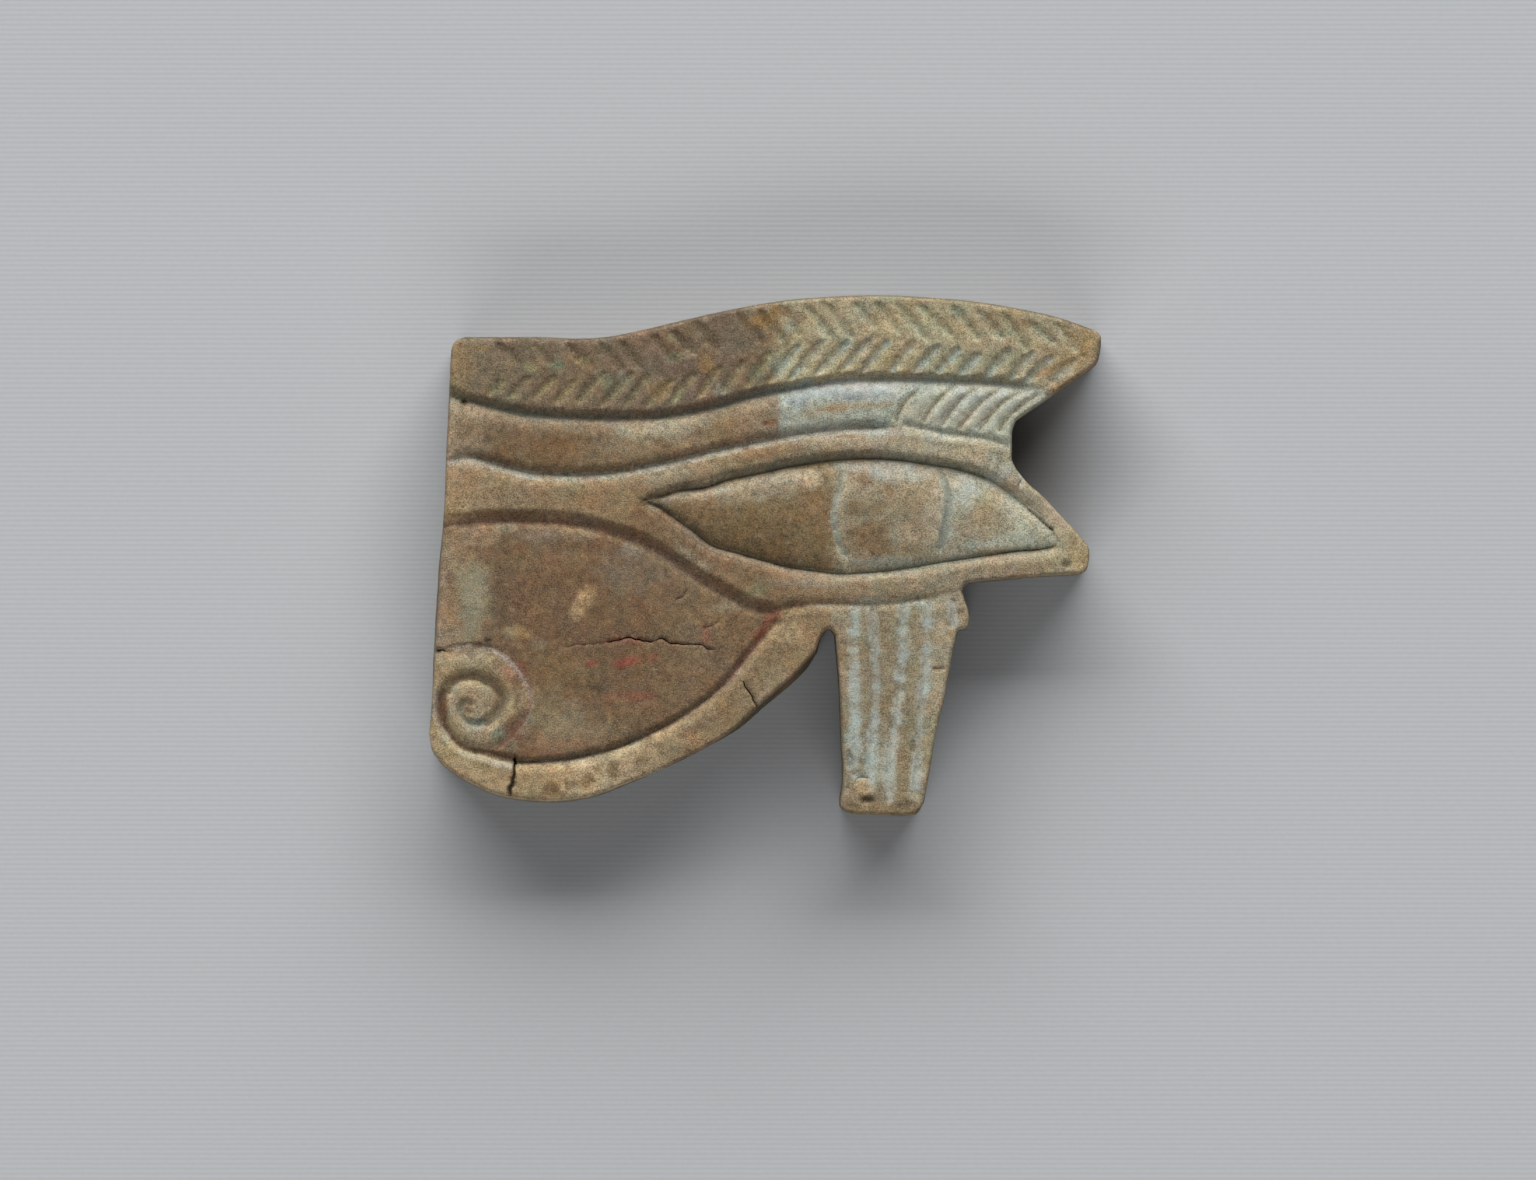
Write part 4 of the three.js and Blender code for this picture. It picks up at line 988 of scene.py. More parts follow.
    ("umber", [(1078, 325, 22, 3, 0.5, -18), (1093, 358, 8, 12, 0.5), (845, 700, 5, 60, 0.25)]),
    ("stroke_blue", [(790, 328, 5, 7, 0.8, -40), (850, 742, 7, 26, 0.35)]),
    ("plum", [(800, 318, 8, 6, 0.5, -40)]),
    ("umber", [(785, 335, 20, 14, 0.35)]),
    ("stain", [(740, 658, 12, 4, 0.5, 50), (441, 710, 7, 16, 0.85), (518, 692, 6, 20, 0.45)]),
    ("rust", [(1030, 322, 10, 5, 0.35, -20), (450, 590, 10, 30, 0.22), (444, 712, 5, 14, 0.5)]),
    # Pale crest lines of the curl: painted highlights
    ("bevel", [(470, 660, 30, 4, 0.3), (452, 706, 5, 16, 0.6)]),
    ("stain", [(500, 661, 9, 6, 0.5, 30)]),
    # Pale patches on the top of the eye's white, in the next lines: painted highlight where its
    # dome faces the light
    ("sclera_top", [(730, 484, 50, 9, 0.8, 14), (785, 476, 34, 8, 0.7, 8)]),
    ("speckle", [(760, 490, 46, 12, 0.5, 10), (525, 727, 10, 12, 0.3)]),
    ("grey", [(680, 494, 26, 5, 0.6, 14)]),
    ("sclera_top", [(812, 480, 12, 9, 0.5)]),
]
# Foot of the leaning line, in pixels, from which the slanted bars start, and its lean
SLANT_START = (898, 424)
SLANT = 0.83
GLAZED_TONES = {"band_blue", "white_blue", "low_blue", "leg_blue", "patch_pale", "lid_top",
                "iris_top", "white", "stroke_blue", "teal", "feather"}


class Coat:
    """Colour and gloss of a set of spots, laid on in layers."""

    def __init__(self, survey, drop, z):
        self.survey, self.drop, self.z = survey, drop, z
        below = FACE - z
        self.spots = survey.spots + below[:, None] * COLOR_DRIFT
        self.x, self.y = pixels(survey.bent)
        self.color = np.zeros((len(z), 3))
        self.gloss = np.zeros(len(z))
        self.grain = cloud(self.spots, 0.9, 21)
        self.broad = cloud(self.spots, 4.0, 22)

    def lay(self, tone, amount, gloss=0.0):
        """Lay a tone, given by name or as a colour for each spot."""
        tone = PALETTE[tone] if isinstance(tone, str) else tone
        amount = np.clip(amount, 0, 1)
        self.color += (tone - self.color) * amount[:, None]
        self.gloss += (gloss - self.gloss) * amount

    def graded(self, stops, amount):
        """Tones that follow each other from left to right, with a ragged change between them."""
        at = self.x + 5 * self.broad + 2 * self.grain
        places = [place for place, _ in stops]
        tones = np.array([PALETTE[name] for _, name in stops])
        tone = np.column_stack([np.interp(at, places, tones[:, k]) for k in range(3)])
        self.lay(tone, amount)


def zones(survey):
    """How far each spot belongs to each part of the eye."""
    def over(name, sign):
        return ease(sign * survey.height_over(name), -0.12, 0.12)

    brow = over("brow_border", 1)
    right = survey.bent[:, 0] > placed([(830, 600)])[0, 0]
    return {
        "lid": np.ones(len(right)),
        "lower": over("eye_border", -1),
        "rim": over("rim_border", -1) * (1 - right),
        "leg": over("under_border", -1) * right,
        "band": (1 - brow) * over("lid_border", 1),
        "brow": brow,
        "field": survey.within("cheek"),
        "spiral": survey.within("curl") * 0.9,
        "eye": survey.within("almond"),
    }


# Grime, glaze, painted shade and painted highlights beside the lines: line, tone, reach on its left
# and on its right, amount and, where it isn't the whole line, the first and last share of it. The
# dark strips on the sides of the brow, lid, eye, under-lid and cheek lines that face away from the
# light, and the darkest strips in their bottoms, are painted shade with grime; the pale grey strips
# on their sides that face the light are painted highlights.
STAINS = [
    ("brow", "grey", 0.1, 1.4, 0.2), ("brow", "dirt_and_shade_grey", 0.8, 0.15, 0.75, 0.0, 0.6),
    ("brow", "blue_groove", 0.9, 0.2, 0.7, 0.5, 1.0), ("lid", "grey", 0.1, 0.9, 0.5),
    ("lid", "dirt_and_shade_grey", 0.65, 0.1, 0.7), ("lid_tail", "blue_groove", 0.4, 0.2, 0.5),
    ("eye_upper", "ring", 1.5, 0.1, 0.5, 0.05, 0.8),
    ("eye_upper", "dirt_and_shade_grey", 0.7, 0.08, 0.8, 0.0, 0.75),
    ("eye_upper", "olive_and_shade", 0.6, 0.3, 0.8, 0.0, 0.2),
    ("eye_upper", "ring", 0.3, 0.6, 0.5, 0.75, 1.0),
    ("eye_lower", "olive_and_shade", 1.3, 0.1, 0.8, 0.0, 0.5),
    ("eye_lower", "dirt_and_shade", 0.7, 0.05, 0.7, 0.0, 0.45),
    ("eye_lower", "grey", 0.1, 0.8, 0.5, 0.1, 1.0),
    ("eye_lower", "dirt_and_shade_grey", 0.55, 0.05, 0.65, 0.3, 0.97),
    ("under_lid", "dirt_and_shade", 0.6, 0.1, 0.5, 0.0, 0.9), ("under_lid", "grey", 0.1, 0.7, 0.5, 0.2, 1.0),
    ("cheek_upper", "plum_red_and_shade", 1.15, 0.25, 0.7),
    ("cheek_lower", "dirt_and_shade_grey", 0.15, 0.65, 0.75, 0.1, 1.0),
    ("cheek_lower", "red_bright", 0.3, 0.6, 0.4, 0.0, 0.3),
    ("curl_groove", "stain", 0.7, 0.4, 0.6, 0.0, 0.85),
    ("curl_eye", "teal", 0.4, 0.4, 0.3, 0.0, 0.4), ("curl_eye", "dirt_and_shade", 0.2, 0.2, 0.25, 0.4, 1.0),
    ("curl_turn", "stain", 0.5, 0.4, 0.8), ("thin_lid", "dirt_and_shade", 0.14, 0.14, 0.5),
    ("curl_outer", "stain", 0.25, 0.9, 0.5, 0.0, 0.42),
    ("curl_outer", "white_pink", 0.5, 0.2, 0.75, 0.34, 0.78),
    ("curl_outer", "red", 0.3, 0.7, 0.6, 0.68, 1.0),
    ("eye_upper", "dark", 0.3, 0.04, 0.6, 0.02, 0.6),
    ("eye_lower", "dark", 0.3, 0.04, 0.6, 0.0, 0.97), ("lid", "dark", 0.3, 0.04, 0.4, 0.1, 1.0),
    ("brow", "dark", 0.35, 0.04, 0.45, 0.05, 0.65),
    ("cheek_lower", "dark", 0.04, 0.3, 0.6, 0.25, 1.0),
    ("iris_left", "ring", 0.1, 0.3, 0.5, 0.5, 1.0), ("iris_right", "ring", 0.5, 0.45, 0.5),
]
# Painted highlights on the worn edges beside the lines that face the light: line, side, where it
# starts and ends, tone, amount
BEVEL_HIGHLIGHTS = [
    ("lid", -1, 0.1, 0.65, "lid_top", 0.6), ("brow", -1, 0.1, 0.7, "bevel", 0.3),
    ("lid_tail", -1, 0.14, 0.7, "lid_top", 0.4), ("eye_upper", -1, 0.2, 1.3, "speckle", 0.35),
    ("cheek_lower", 1, 0.1, 0.4, "white", 0.3), ("curl_turn", -1, 0.35, 1.1, "white", 0.5),
]


def lay_bevel_highlights(coat):
    """Painted highlights: pale strips on the worn edges beside the lines where they face the light.
    """
    for name, side, start, end, tone, amount in BEVEL_HIGHLIGHTS:
        distance, found_side, share = coat.survey.to(name)
        strip = ease(distance, start - 0.12, start + 0.08) * ease(-distance, -end, 0.2 - end)
        strip *= (found_side == side) * taper(share, 0.03, 0.03)
        coat.lay(tone, strip * amount * (0.8 + 1.1 * coat.grain), 0.5)


# Glaze left in the strokes of each row: tone and amount on the right, tone on the left, which for
# the upper row is a dark olive of painted shade
STROKE_GLAZES = {"upper": ("stroke", 0.6, "olive_and_shade"),
                 "lower": ("stroke_blue", 0.85, "stroke_left")}


def lay_strokes(coat):
    """Remains of glaze in the strokes, the slanted lines, the lines of the leg and the iris, and
    painted shade in and beside the strokes.
    """
    right = ease(coat.x, 768, 780)
    patchy = 0.55 + 0.8 * coat.grain
    for line, strength, row in strokes:
        distance, side, share = nearest(line, coat.survey.bent, 1.0)
        ends = taper(share, 0.14, 0.12) * patchy
        amount = ease(-distance, -0.62, -0.12) * ends * np.minimum(strength, 0.9)
        tone, strong, left_tone = STROKE_GLAZES[row]
        coat.lay(tone, amount * right * strong, 0.5)
        # Left of the middle, the upper strokes take a dark olive of painted shade, the lower ones
        # their own tone
        coat.lay(left_tone, amount * (1 - right) * 0.77, 0.2)
        # A thin dark olive line along the side of each stroke that faces away from the light:
        # painted shade
        coat.lay("olive_and_shade", fall(np.abs(distance - 0.45), 0.3, 1) * ends * (side > 0) * 0.15)
    for line in feathers:
        distance, side, share = nearest(line, coat.survey.bent, 1.0)
        reach = beside(distance, side, (0.42, 1), (0.2, 1))
        coat.lay("olive", reach * taper(share, 0.1, 0.1) * 0.6)
    worn = np.clip(0.42 + 1.7 * coat.grain + coat.broad, 0.05, 0.8)
    for line in legs:
        distance, _, share = nearest(line, coat.survey.bent, 1.0)
        coat.lay("leg_blue", ease(-distance, -0.95, -0.28) * taper(share, 0.02, 0.03) * worn, 0.9)
    for name in ("iris_left", "iris_right"):
        distance, _, share = coat.survey.to(name)
        amount = ease(-distance, -0.5, -0.3) * taper(share, 0.05, 0.05)
        coat.lay("iris_top", amount * (0.6 + 0.4 * coat.grain), 0.6)


def lay_stains(coat):
    """Grime, glaze, painted shade and painted highlights beside the lines, the cracks' tones with
    painted shade in the dark ones, and painted shade with grime in all that lies deep.
    """
    survey = coat.survey
    for name, tone, left, right, amount, *extent in STAINS:
        first, last = extent or (0, 1)
        distance, side, share = survey.to(name)
        reach = beside(distance, side, (left, 0.8), (right, 0.8))
        reach *= ease(share, first - 0.04, first + 0.05) * ease(-share, -last - 0.04, 0.05 - last)
        coat.lay(tone, reach * amount * (0.9 + 0.5 * coat.grain))
    blue = fall(survey.to("brow")[0], 0.4, 1) * ease(coat.x, 470, 500)
    blue *= ease(-coat.x, -600, -560)
    coat.lay("blue_groove", blue * (0.2 + 0.9 * coat.grain), 0.6)
    # Cracks in their own tones; the dark tone in them is painted shade as well as grime
    for line, (_, widths, _, tone) in zip(cracks, CRACKS):
        distance, _, share = nearest(line, survey.spots, 1.0)
        width = np.interp(share, (0, 1), widths)
        coat.lay(tone, (1 - ease(distance, 0.9 * width, 1.5 * width)) * 0.85)
    # Painted shade, with grime, darker the deeper the face lies
    coat.lay("dirt_and_shade", ease(coat.drop, 0.5, 0.9) * 0.2)


# Hues that drift over the face: grain in millimetres, amount, gain of red, green and blue
DRIFTS = [
    (1.7, 1.4, (0.07, -0.01, -0.08)), (0.8, 1.5, (0.04, -0.01, -0.04)),
    (2.4, 1.0, (-0.03, 0.03, -0.02)), (1.0, 1.0, (-0.03, 0.02, 0.01)),
    (5.0, 1.0, (0.05, 0.0, -0.06)),
]
WARMTH = np.array([1.03, 1.01, 0.96])


def lay_grain(coat, field):
    """Mottling, specks and flecks over all layers, most of all in the field under the eye."""
    spots = coat.spots
    for seed, (cell, amount, gain) in enumerate(DRIFTS):
        drift = amount * cloud(spots, cell, 50 + seed, 3)
        coat.color *= 1 + drift[:, None] * np.array(gain)
    coat.color *= WARMTH
    light = 0.12 * coat.grain + 0.08 * coat.broad + 0.05 * cloud(spots, 0.6, 44, 2)
    coat.color *= (1 + light)[:, None]
    fleck = noise(spots, 0.34, 43)
    coat.lay("dark", ease(fleck, 0.7, 0.95) * 0.3)
    coat.lay("bare_and_highlight", ease(-fleck, 0.7, 0.95) * 0.25)
    blotch = cloud(spots, 0.8, 46, 3)
    coat.lay("field_dark", ease(blotch, 0.25, 0.6) * (0.15 + 0.3 * field))
    coat.lay("ochre", ease(-blotch, 0.3, 0.65) * (0.1 + 0.2 * field))


def lay_edges(coat):
    """Worn paste along the edge, painted shade on the outermost edge, the top edge and the side
    under the rim, a painted highlight on the lit side, darker sides that darken most towards the
    back, and the hole with painted shade inside.
    """
    edge = coat.survey.edge()
    top, lit, rim = (nearest(line_of(points), coat.survey.spots, 1.0)[0]
                     for points in (OUTLINE[0], LIT_SIDE, RIM_SIDE))
    below = FACE - coat.drop - coat.z
    side = ease(below, 0.05, 0.9)
    worn = ease(-edge, -1.0, -0.6) * ease(coat.grain + 0.5 * coat.broad, -0.15, 0.5)
    # Pale band along the lit side: painted highlight
    painted_highlight = ease(-lit, -0.5, -0.25)
    coat.lay("pink", worn * 0.35)
    # Painted shade along the outermost edge
    coat.lay("umber", ease(-edge, -0.36, -0.2) * 0.3)
    # Painted shade along the top edge
    coat.lay("top_edge_shade", ease(-top, -0.42, -0.2) * 0.65)
    # Painted highlight on the lit side's edge
    coat.lay("bare_and_highlight", painted_highlight * 0.5)
    coat.lay("wall", side * 0.85)
    # Painted shade on the side wall below the top edge
    coat.lay("top_edge_shade", side * ease(-top, -0.6, -0.3) * 0.6)
    # Painted shade on the side under the rim
    coat.lay("under_rim_shade", side * ease(-rim, -1.0, -0.6) * 0.6)
    # Painted highlight on the upper part of the lit side's wall
    coat.lay("bare_and_highlight", painted_highlight * ease(-below, -1.6, -0.5) * 0.4)
    coat.lay("orange_brown", side * ease(coat.broad, 0.1, 0.6) * 0.4)
    coat.lay("grey", side * ease(-coat.broad, 0.15, 0.6) * 0.4)
    coat.lay("wall_low", ease(below, 4.0, 8.8) * 0.6)
    hole = np.hypot(coat.survey.spots[:, 1] - BORE_CENTRE[0], coat.z - BORE_CENTRE[1])
    deep = (hole < BORE_RADIUS * 1.02) & (edge > 0.3)
    coat.lay("wall", deep * 0.9)
    # Painted shade inside the hole, darker farther in
    coat.lay("dark", deep * ease(edge, 0.5, 4.0) * 0.6)


def paint(survey, drop, z):
    """All layers of colour, from the zones up to the grain."""
    coat = Coat(survey, drop, z)
    zone = zones(survey)
    for name, stops in STOPS.items():
        coat.graded(stops, zone[name])
    slanted = coat.x - SLANT * (SLANT_START[1] - coat.y)
    feathered = zone["band"] * ease(slanted, SLANT_START[0] - 4, SLANT_START[0] + 4)
    coat.lay("feather", feathered * 0.9, 0.5)
    for name, patches in PATCHES:
        glazed = 0.5 if name in GLAZED_TONES else 0.0
        for x, y, rx, ry, amount, *turn in patches:
            reach = blot(survey.spots, x, y, rx, ry, *turn, ragged=0.6 * coat.grain)
            coat.lay(name, amount * ease(-reach, -1.25, -0.55), glazed)
    lay_bevel_highlights(coat)
    lay_strokes(coat)
    lay_stains(coat)
    lay_edges(coat)
    lay_grain(coat, zone["field"])
    return coat


# Materials


def fill(tree, node, values):
    """Link or set the sockets of a node."""
    for name, value in values.items():
        socket = node.inputs[name]
        if isinstance(value, bpy.types.NodeSocket):
            tree.links.new(value, socket)
        else:
            socket.default_value = (*value, 1) if isinstance(value, tuple) else value
    return node


def new_node(tree, kind, values):
    return fill(tree, tree.nodes.new(kind), values)


def scaled_noise(tree, coords, scale, detail):
    values = {"Vector": coords, "Scale": scale, "Detail": detail, "Roughness": 0.6}
    return new_node(tree, "ShaderNodeTexNoise", values).outputs["Fac"]


def mapped(tree, value, low, high, to_low, to_high):
    values = {"Value": value, "From Min": low, "From Max": high, "To Min": to_low,
              "To Max": to_high}
    return new_node(tree, "ShaderNodeMapRange", values).outputs["Result"]


def math_node(tree, operation, first, second):
    node = new_node(tree, "ShaderNodeMath", {0: first, 1: second})
    node.operation = operation
    return node.outputs[0]


def mixed(tree, factor, first, second, blend="MIX"):
    node = tree.nodes.new("ShaderNodeMix")
    node.data_type = "RGBA"
    node.blend_type = blend
    return fill(tree, node, {0: factor, 6: first, 7: second}).outputs[2]


def attribute(tree, name, output):
    node = tree.nodes.new("ShaderNodeAttribute")
    node.attribute_name = name
    return node.outputs[output]


def new_material(name):
    """A material, its node tree and the object's coordinates in it."""
    material = bpy.data.materials.new(name)
    material.use_nodes = True
    tree = material.node_tree
    return material, tree, tree.nodes.new("ShaderNodeTexCoord").outputs["Object"]


def shade(tree, color, roughness, specular, bump):
    """Feed the shader of a material; a bump is its height, strength and distance."""
    lift = new_node(tree, "ShaderNodeBump", dict(zip(("Height", "Strength", "Distance"), bump)))
    fill(tree, tree.nodes["Principled BSDF"],
         {"Base Color": color, "Roughness": roughness, "Specular IOR Level": specular,
          "Normal": lift.outputs["Normal"]})


GRAIN_SCALE = 1 / (0.14 * MM)
GRAIN_SHARE = 2.0
SAND_SCALE = 1 / (0.7 * MM)
SPARK_SCALE = 1 / (0.3 * MM)
BUMP_HEIGHT = 0.05 * MM
PIT_SHADE = (0.45, 0.42, 0.38)
SPARK_LIGHT = (0.25, 0.25, 0.24)
SHARP_ANGLE = math.radians(75)


def paste(name, matte, glossy, contrast, bump):
    """Gritty quartz paste or weathered glaze, tinted by the mesh's own colours."""
    material, tree, coords = new_material(name)
    tint = attribute(tree, "tint", "Color")
    gloss = attribute(tree, "gloss", "Fac")
    grain = scaled_noise(tree, coords, GRAIN_SCALE, 2)
    sand = scaled_noise(tree, coords, SAND_SCALE, 4)
    cells = new_node(tree, "ShaderNodeTexVoronoi", {"Vector": coords, "Scale": SPARK_SCALE})
    spark = mapped(tree, cells.outputs["Distance"], 0.1, 0.2, 0.4, 0.0)
    pit = mapped(tree, grain, 0.34, 0.26, 0.0, 0.35)
    both = math_node(tree, "ADD", sand, math_node(tree, "MULTIPLY", grain, GRAIN_SHARE))
    calm, lively = (mapped(tree, both, 1.14, 1.86, 1 - span, 1 + span)
                    for span in (contrast, 0.7 * contrast))
    color = mixed(tree, 1.0, tint, mixed(tree, gloss, calm, lively), "MULTIPLY")
    color = mixed(tree, pit, color, mixed(tree, 1.0, color, PIT_SHADE, "MULTIPLY"))
    # Bright specks where quartz grains glint: painted glints, made less rough below
    color = mixed(tree, spark, color, mixed(tree, 1.0, color, SPARK_LIGHT, "ADD"))
    rough = mapped(tree, gloss, 0.0, 1.0, matte, glossy)
    rough = math_node(tree, "SUBTRACT", rough, math_node(tree, "MULTIPLY", spark, 0.5))
    height = math_node(tree, "ADD", grain, math_node(tree, "MULTIPLY", sand, 1.4))
    shade(tree, color, rough, 0.4, (height, bump, BUMP_HEIGHT))
    return material


MATERIALS = {
    "faience": paste("faience", 0.9, 0.6, 0.5, 1.0),
    "pale_glaze": paste("pale_glaze", 0.75, 0.42, 0.42, 0.9),
    "green_glaze": paste("green_glaze", 0.75, 0.45, 0.42, 0.9),
    "dark_glaze": paste("dark_glaze", 0.75, 0.5, 0.45, 0.9),
    "red_pigment": paste("red_pigment", 0.95, 0.8, 0.5, 0.9),
}


def dress(obj, coat, slot):
    """Write the colours to the mesh, and give the piece its material, slot and body."""
    mesh = obj.data
    tint = mesh.attributes.new("tint", "FLOAT_COLOR", "POINT")
    opaque = np.column_stack([np.clip(coat.color, 0, 1), np.ones(len(coat.color))])
    tint.data.foreach_set("color", opaque.astype(np.float32).ravel())
    gloss = mesh.attributes.new("gloss", "FLOAT", "POINT")
    gloss.data.foreach_set("value", coat.gloss.astype(np.float32))
    mesh.materials.clear()
    mesh.materials.append(MATERIALS[slot])
    mesh.shade_smooth()
    mesh.set_sharp_from_angle(angle=SHARP_ANGLE)
    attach(obj, "root")


def positions_of(obj):
    """A mesh's points in millimetres."""
    found = np.empty(len(obj.data.vertices) * 3, np.float32)
    obj.data.vertices.foreach_get("co", found)
    return found.reshape(-1, 3).astype(float) / MM


def add_body():
    body = drilled(mesh_object("eye_amulet_body", *body_mesh()))
    positions = positions_of(body)
    survey = Survey(positions[:, :2])
    dress(body, paint(survey, relief(survey), positions[:, 2]), "faience")
    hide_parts("faience_body")


# Remains of glaze and pigment that lie in the lines and on the face

RIBBON_STEP = 0.16
RIBBON_COLUMNS = 9
EMBEDDING = 0.16
RAGGEDNESS = 0.75


def ribbon_mesh(line, extent, half_width, skin, pool, seed, oval=False):
    """A film along a line that pools in its bottom and whose ragged rim dives under the paste."""
    whole = even(line - wobble(line), RIBBON_STEP)
    first, last = (round(share * (len(whole) - 1)) for share in extent)
    run = whole[first:last + 1]
    normal = left_of(np.gradient(run, axis=0))
    columns = np.linspace(-1, 1, RIBBON_COLUMNS)
    spots = (run[:, None] + normal[:, None] * columns[:, None] * half_width).reshape(-1, 2)
    survey = Survey(spots)
    drop = relief(survey)
    share = np.repeat(np.linspace(0, 1, len(run)), RIBBON_COLUMNS)
    across = np.tile(np.abs(columns), len(run))
    along = np.abs(2 * share - 1)
    if oval:
        cover = 0.95 - 1.7 * across**2 - 1.3 * along**3
    else:
        cover = 0.62 - 1.3 * across**2.5 - 1.6 * (1 - taper(share, 0.05, 0.05))
    cover += RAGGEDNESS * (cloud(spots, 0.7, seed, 3) + 0.5 * noise(spots, 2.6, seed + 3))
    film = skin * np.clip(cover, -1.5, 0.8)
    level = FACE - drop + film
    bottom = drop.reshape(len(run), -1).max(1)
    filled = np.repeat(FACE - bottom, RIBBON_COLUMNS) + pool * np.clip(cover, -1, 1)
    z = np.where(cover > 0, np.maximum(level, filled), level)
    top = np.column_stack([spots, z])
    under = np.column_stack([spots, FACE - drop - EMBEDDING])
    count = len(spots)
    grid = np.arange(count).reshape(-1, RIBBON_COLUMNS)
    quads = np.column_stack([part.ravel() for part in
                             (grid[:-1, :-1], grid[:-1, 1:], grid[1:, 1:], grid[1:, :-1])])
    rim = np.concatenate([grid[0, :-1], grid[:-1, -1], grid[-1, :0:-1], grid[:0:-1, 0]])
    after = np.roll(rim, -1)
    sides = np.column_stack([rim, rim + count, after + count, after])
    faces = [quads[:, ::-1], quads + count, sides[:, ::-1]]
    return np.vstack([top, under]), faces, survey, drop, cover, share


def add_remain(node, line, extent, half_width, skin, pool, tones, strength, slot, seed, oval=False):
    """One film, tinted from its first tone to its last over the colours of the face."""
    positions, faces, survey, drop, cover, share = ribbon_mesh(
        line, extent, half_width, skin, pool, seed, oval)
    count = len(drop)
    coat = paint(survey, drop, FACE - drop)
    glossy = 0.1 if slot == "red_pigment" else 0.8
    first, last = (PALETTE[tone] for tone in tones)
    blend = ease(share, 0.35, 0.75)[:, None]
    speck = 1 + 0.16 * coat.grain
    coat.lay((first * (1 - blend) + last * blend) * speck[:, None],
             strength * ease(cover, -0.25, 0.55), glossy)
    coat.color = np.vstack([coat.color, coat.color])
    coat.gloss = np.concatenate([coat.gloss, coat.gloss])
    piece = mesh_object(node + "_film", positions, faces)
    if len(piece.data.vertices) != 2 * count:
        raise ValueError(node + " lost some of its points")
    dress(piece, coat, slot)
    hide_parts(node)


# Films in the lines: node, line, extent, half width, skin, pool, tones, strength, slot
FILMS = [
    ("brow_line_glaze", "brow", (0.03, 0.985), 0.42, 0.05, 0.02, ("dirt_and_shade_grey", "blue_groove"), 0.4,
     "dark_glaze"),
    ("band_line_glaze", "lid", (0.03, 0.985), 0.42, 0.05, 0.02, ("grey", "grey"), 0.4,
     "dark_glaze"),
    ("eye_upper_glaze", "eye_upper", (0.04, 0.95), 0.34, 0.05, 0.02, ("olive", "teal"), 0.4,
     "green_glaze"),
    ("eye_lower_glaze", "eye_lower", (0.04, 0.95), 0.34, 0.05, 0.02, ("olive", "teal"), 0.35,
     "green_glaze"),
    ("curl_glaze", "curl_path", (0.04, 0.97), 0.55, 0.05, 0.0, ("stain", "teal"), 0.3,
     "green_glaze"),
    ("iris_left_glaze", "iris_left", (0.08, 0.93), 0.46, 0.05, 0.01, ("iris_top", "ring"), 0.35,
     "green_glaze"),
    ("iris_right_glaze", "iris_right", (0.08, 0.93), 0.46, 0.05, 0.01, ("ring", "ring"), 0.35,
     "green_glaze"),
    ("cheek_upper_pigment", "cheek_upper", (0.08, 0.97), 0.55, 0.05, 0.02, ("stain", "plum"), 0.5,
     "red_pigment"),
    ("cheek_lower_pigment", "cheek_lower", (0.03, 0.96), 0.45, 0.05, 0.02, ("red", "stain"), 0.3,
     "red_pigment"),
    ("curl_pigment", "curl_outer", (0.14, 0.95), 0.4, 0.06, 0.02, ("white_pink", "red"), 0.5,
     "red_pigment"),
]
# Oval patches: node, middle line, half width, tone, strength
OVALS = [
    ("eye_white_glaze", [(962, 472), (966, 486), (967, 502), (963, 520)], 1.1, "white_blue", 0.3),
    ("band_glaze", [(780, 397), (800, 394), (830, 391.5), (860, 390), (880, 389), (914, 389)], 1.05,
     "band_blue", 0.4),
    ("cheek_glaze", [(475, 566), (473, 602), (467, 638)], 1.45, "patch_green", 0.2),
]
LEG_GLAZE_STRENGTHS = [0.2, 0.4, 0.3, 0.4, 0.3]


def add_remains():
    for seed, (node, line, *rest) in enumerate(FILMS):
        add_remain(node, lines[line], *rest, 60 + seed)
    for seed, (node, points, half_width, tone, strength) in enumerate(OVALS):
        add_remain(node, line_of(points), (0, 1), half_width, 0.05, 0.0, (tone, tone), strength,
                   "pale_glaze", 70 + seed, True)
    for number, (left, right) in enumerate(zip(FEATHERS, FEATHERS[1:]), 1):
        middle = (np.array(left, float) + np.array(right)) / 2
        add_remain(f"feather_glaze_{number}", line_of(middle), (0.02, 0.98), 0.62, 0.04, 0.0,
                   ("feather", "white_blue"), 0.3, "pale_glaze", 80 + number)
    for number, (line, strength) in enumerate(zip(legs, LEG_GLAZE_STRENGTHS), 1):
        add_remain(f"leg_glaze_{number}", line, (0.02, 0.98), 0.62, 0.05, 0.0,
                   ("leg_blue", "leg_blue"), strength, "pale_glaze", 90 + number)


# Floor, light and camera

FLOOR_TONE = (186, 189, 193)
RIB_PITCH = 0.495 * MM
RIB_HEIGHT = 0.02 * MM
FIBRE_SIZE = 0.6 * MM
# Scale of a wave texture whose waves are one metre apart
WAVE_SHARE = 0.314
FLOOR_SIZE = 0.9
WORLD_STRENGTH = 0.045
LIGHT_DISTANCE = 3.0
# Soft boxes: side they stand on, elevation in degrees, width and height in metres, watts
SOFT_BOXES = {"key": (-2, 26, 4.8, 1.8, 209.0), "fill": (187, 33, 3.8, 1.0, 40.0)}
CAMERA_DISTANCE = 1.0
SENSOR_WIDTH = 36
CLIP_START = 0.05
# Depth under the highest face at which the photograph's scale holds, in millimetres
SCALE_DEPTH = 0.5
WORLD_COLOR = (0.96, 0.98, 1.0, 1)
LIGHT_COLOR = (1.0, 0.99, 0.97)


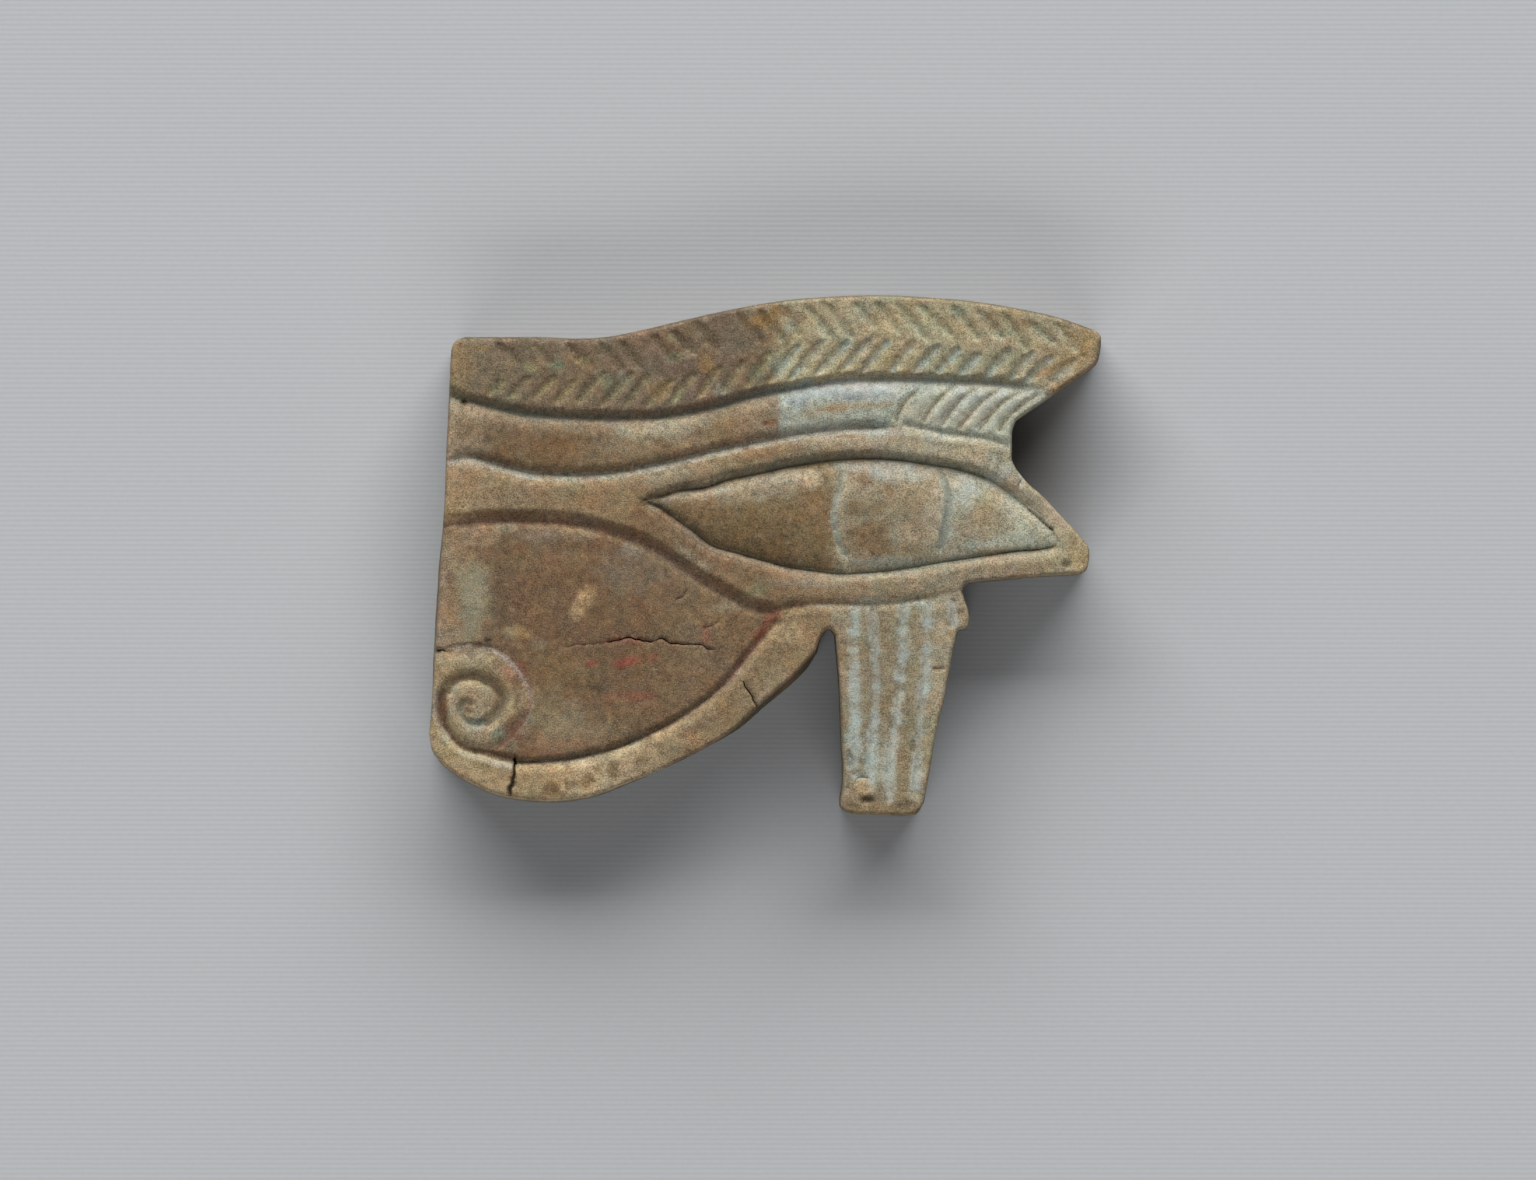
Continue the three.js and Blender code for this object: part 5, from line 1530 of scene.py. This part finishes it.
def floor_material():
    material, tree, coords = new_material("ribbed_paper")
    wave = new_node(tree, "ShaderNodeTexWave", {"Vector": coords, "Scale": WAVE_SHARE / RIB_PITCH,
                                                "Distortion": 0.7, "Detail": 2})
    wave.bands_direction = "Y"
    rib = wave.outputs["Fac"]
    fibre = scaled_noise(tree, coords, 1 / FIBRE_SIZE, 4)
    color = mixed(tree, 1.0, tuple(linear(FLOOR_TONE)), mapped(tree, rib, 0, 1, 0.98, 1.02),
                  "MULTIPLY")
    color = mixed(tree, 1.0, color, mapped(tree, fibre, 0.3, 0.7, 0.985, 1.015), "MULTIPLY")
    shade(tree, color, 0.95, 0.1, (rib, 0.25, RIB_HEIGHT))
    return material


def add_floor():
    half = FLOOR_SIZE / 2 / MM
    corners = np.array([(-half, -half, 0), (half, -half, 0), (half, half, 0), (-half, half, 0)])
    floor = mesh_object("floor", corners, [np.array([[0, 1, 2, 3]])])
    floor.data.materials.append(floor_material())


def add_light():
    world = bpy.data.worlds.new("studio")
    world.use_nodes = True
    sky = world.node_tree.nodes["Background"]
    sky.inputs["Color"].default_value = WORLD_COLOR
    sky.inputs["Strength"].default_value = WORLD_STRENGTH
    bpy.context.scene.world = world
    for name, (turn, rise, width, height, power) in SOFT_BOXES.items():
        data = bpy.data.lights.new(name, "AREA")
        data.shape = "RECTANGLE"
        data.size = width
        data.size_y = height
        data.energy = power
        data.color = LIGHT_COLOR
        box = bpy.data.objects.new(name, data)
        around, up = math.radians(turn), math.radians(rise)
        direction = Vector((math.sin(around) * math.cos(up), math.cos(around) * math.cos(up),
                            math.sin(up)))
        box.location = direction * LIGHT_DISTANCE
        box.rotation_euler = direction.to_track_quat("Z", "Y").to_euler()
        bpy.context.scene.collection.objects.link(box)


def add_camera():
    data = bpy.data.cameras.new("camera")
    data.sensor_width = SENSOR_WIDTH
    data.lens = data.sensor_width * CAMERA_DISTANCE / (PHOTO_WIDTH * PIXEL * MM)
    data.clip_start = CLIP_START
    camera = bpy.data.objects.new("camera", data)
    x, y = placed([PHOTO_CENTRE])[0] * MM
    camera.location = (x, y, CAMERA_DISTANCE + (FACE - SCALE_DEPTH) * MM)
    bpy.context.scene.collection.objects.link(camera)
    bpy.context.scene.camera = camera


add_body()
add_remains()
add_floor()
add_light()
add_camera()
bpy.context.scene.view_settings.view_transform = "Standard"
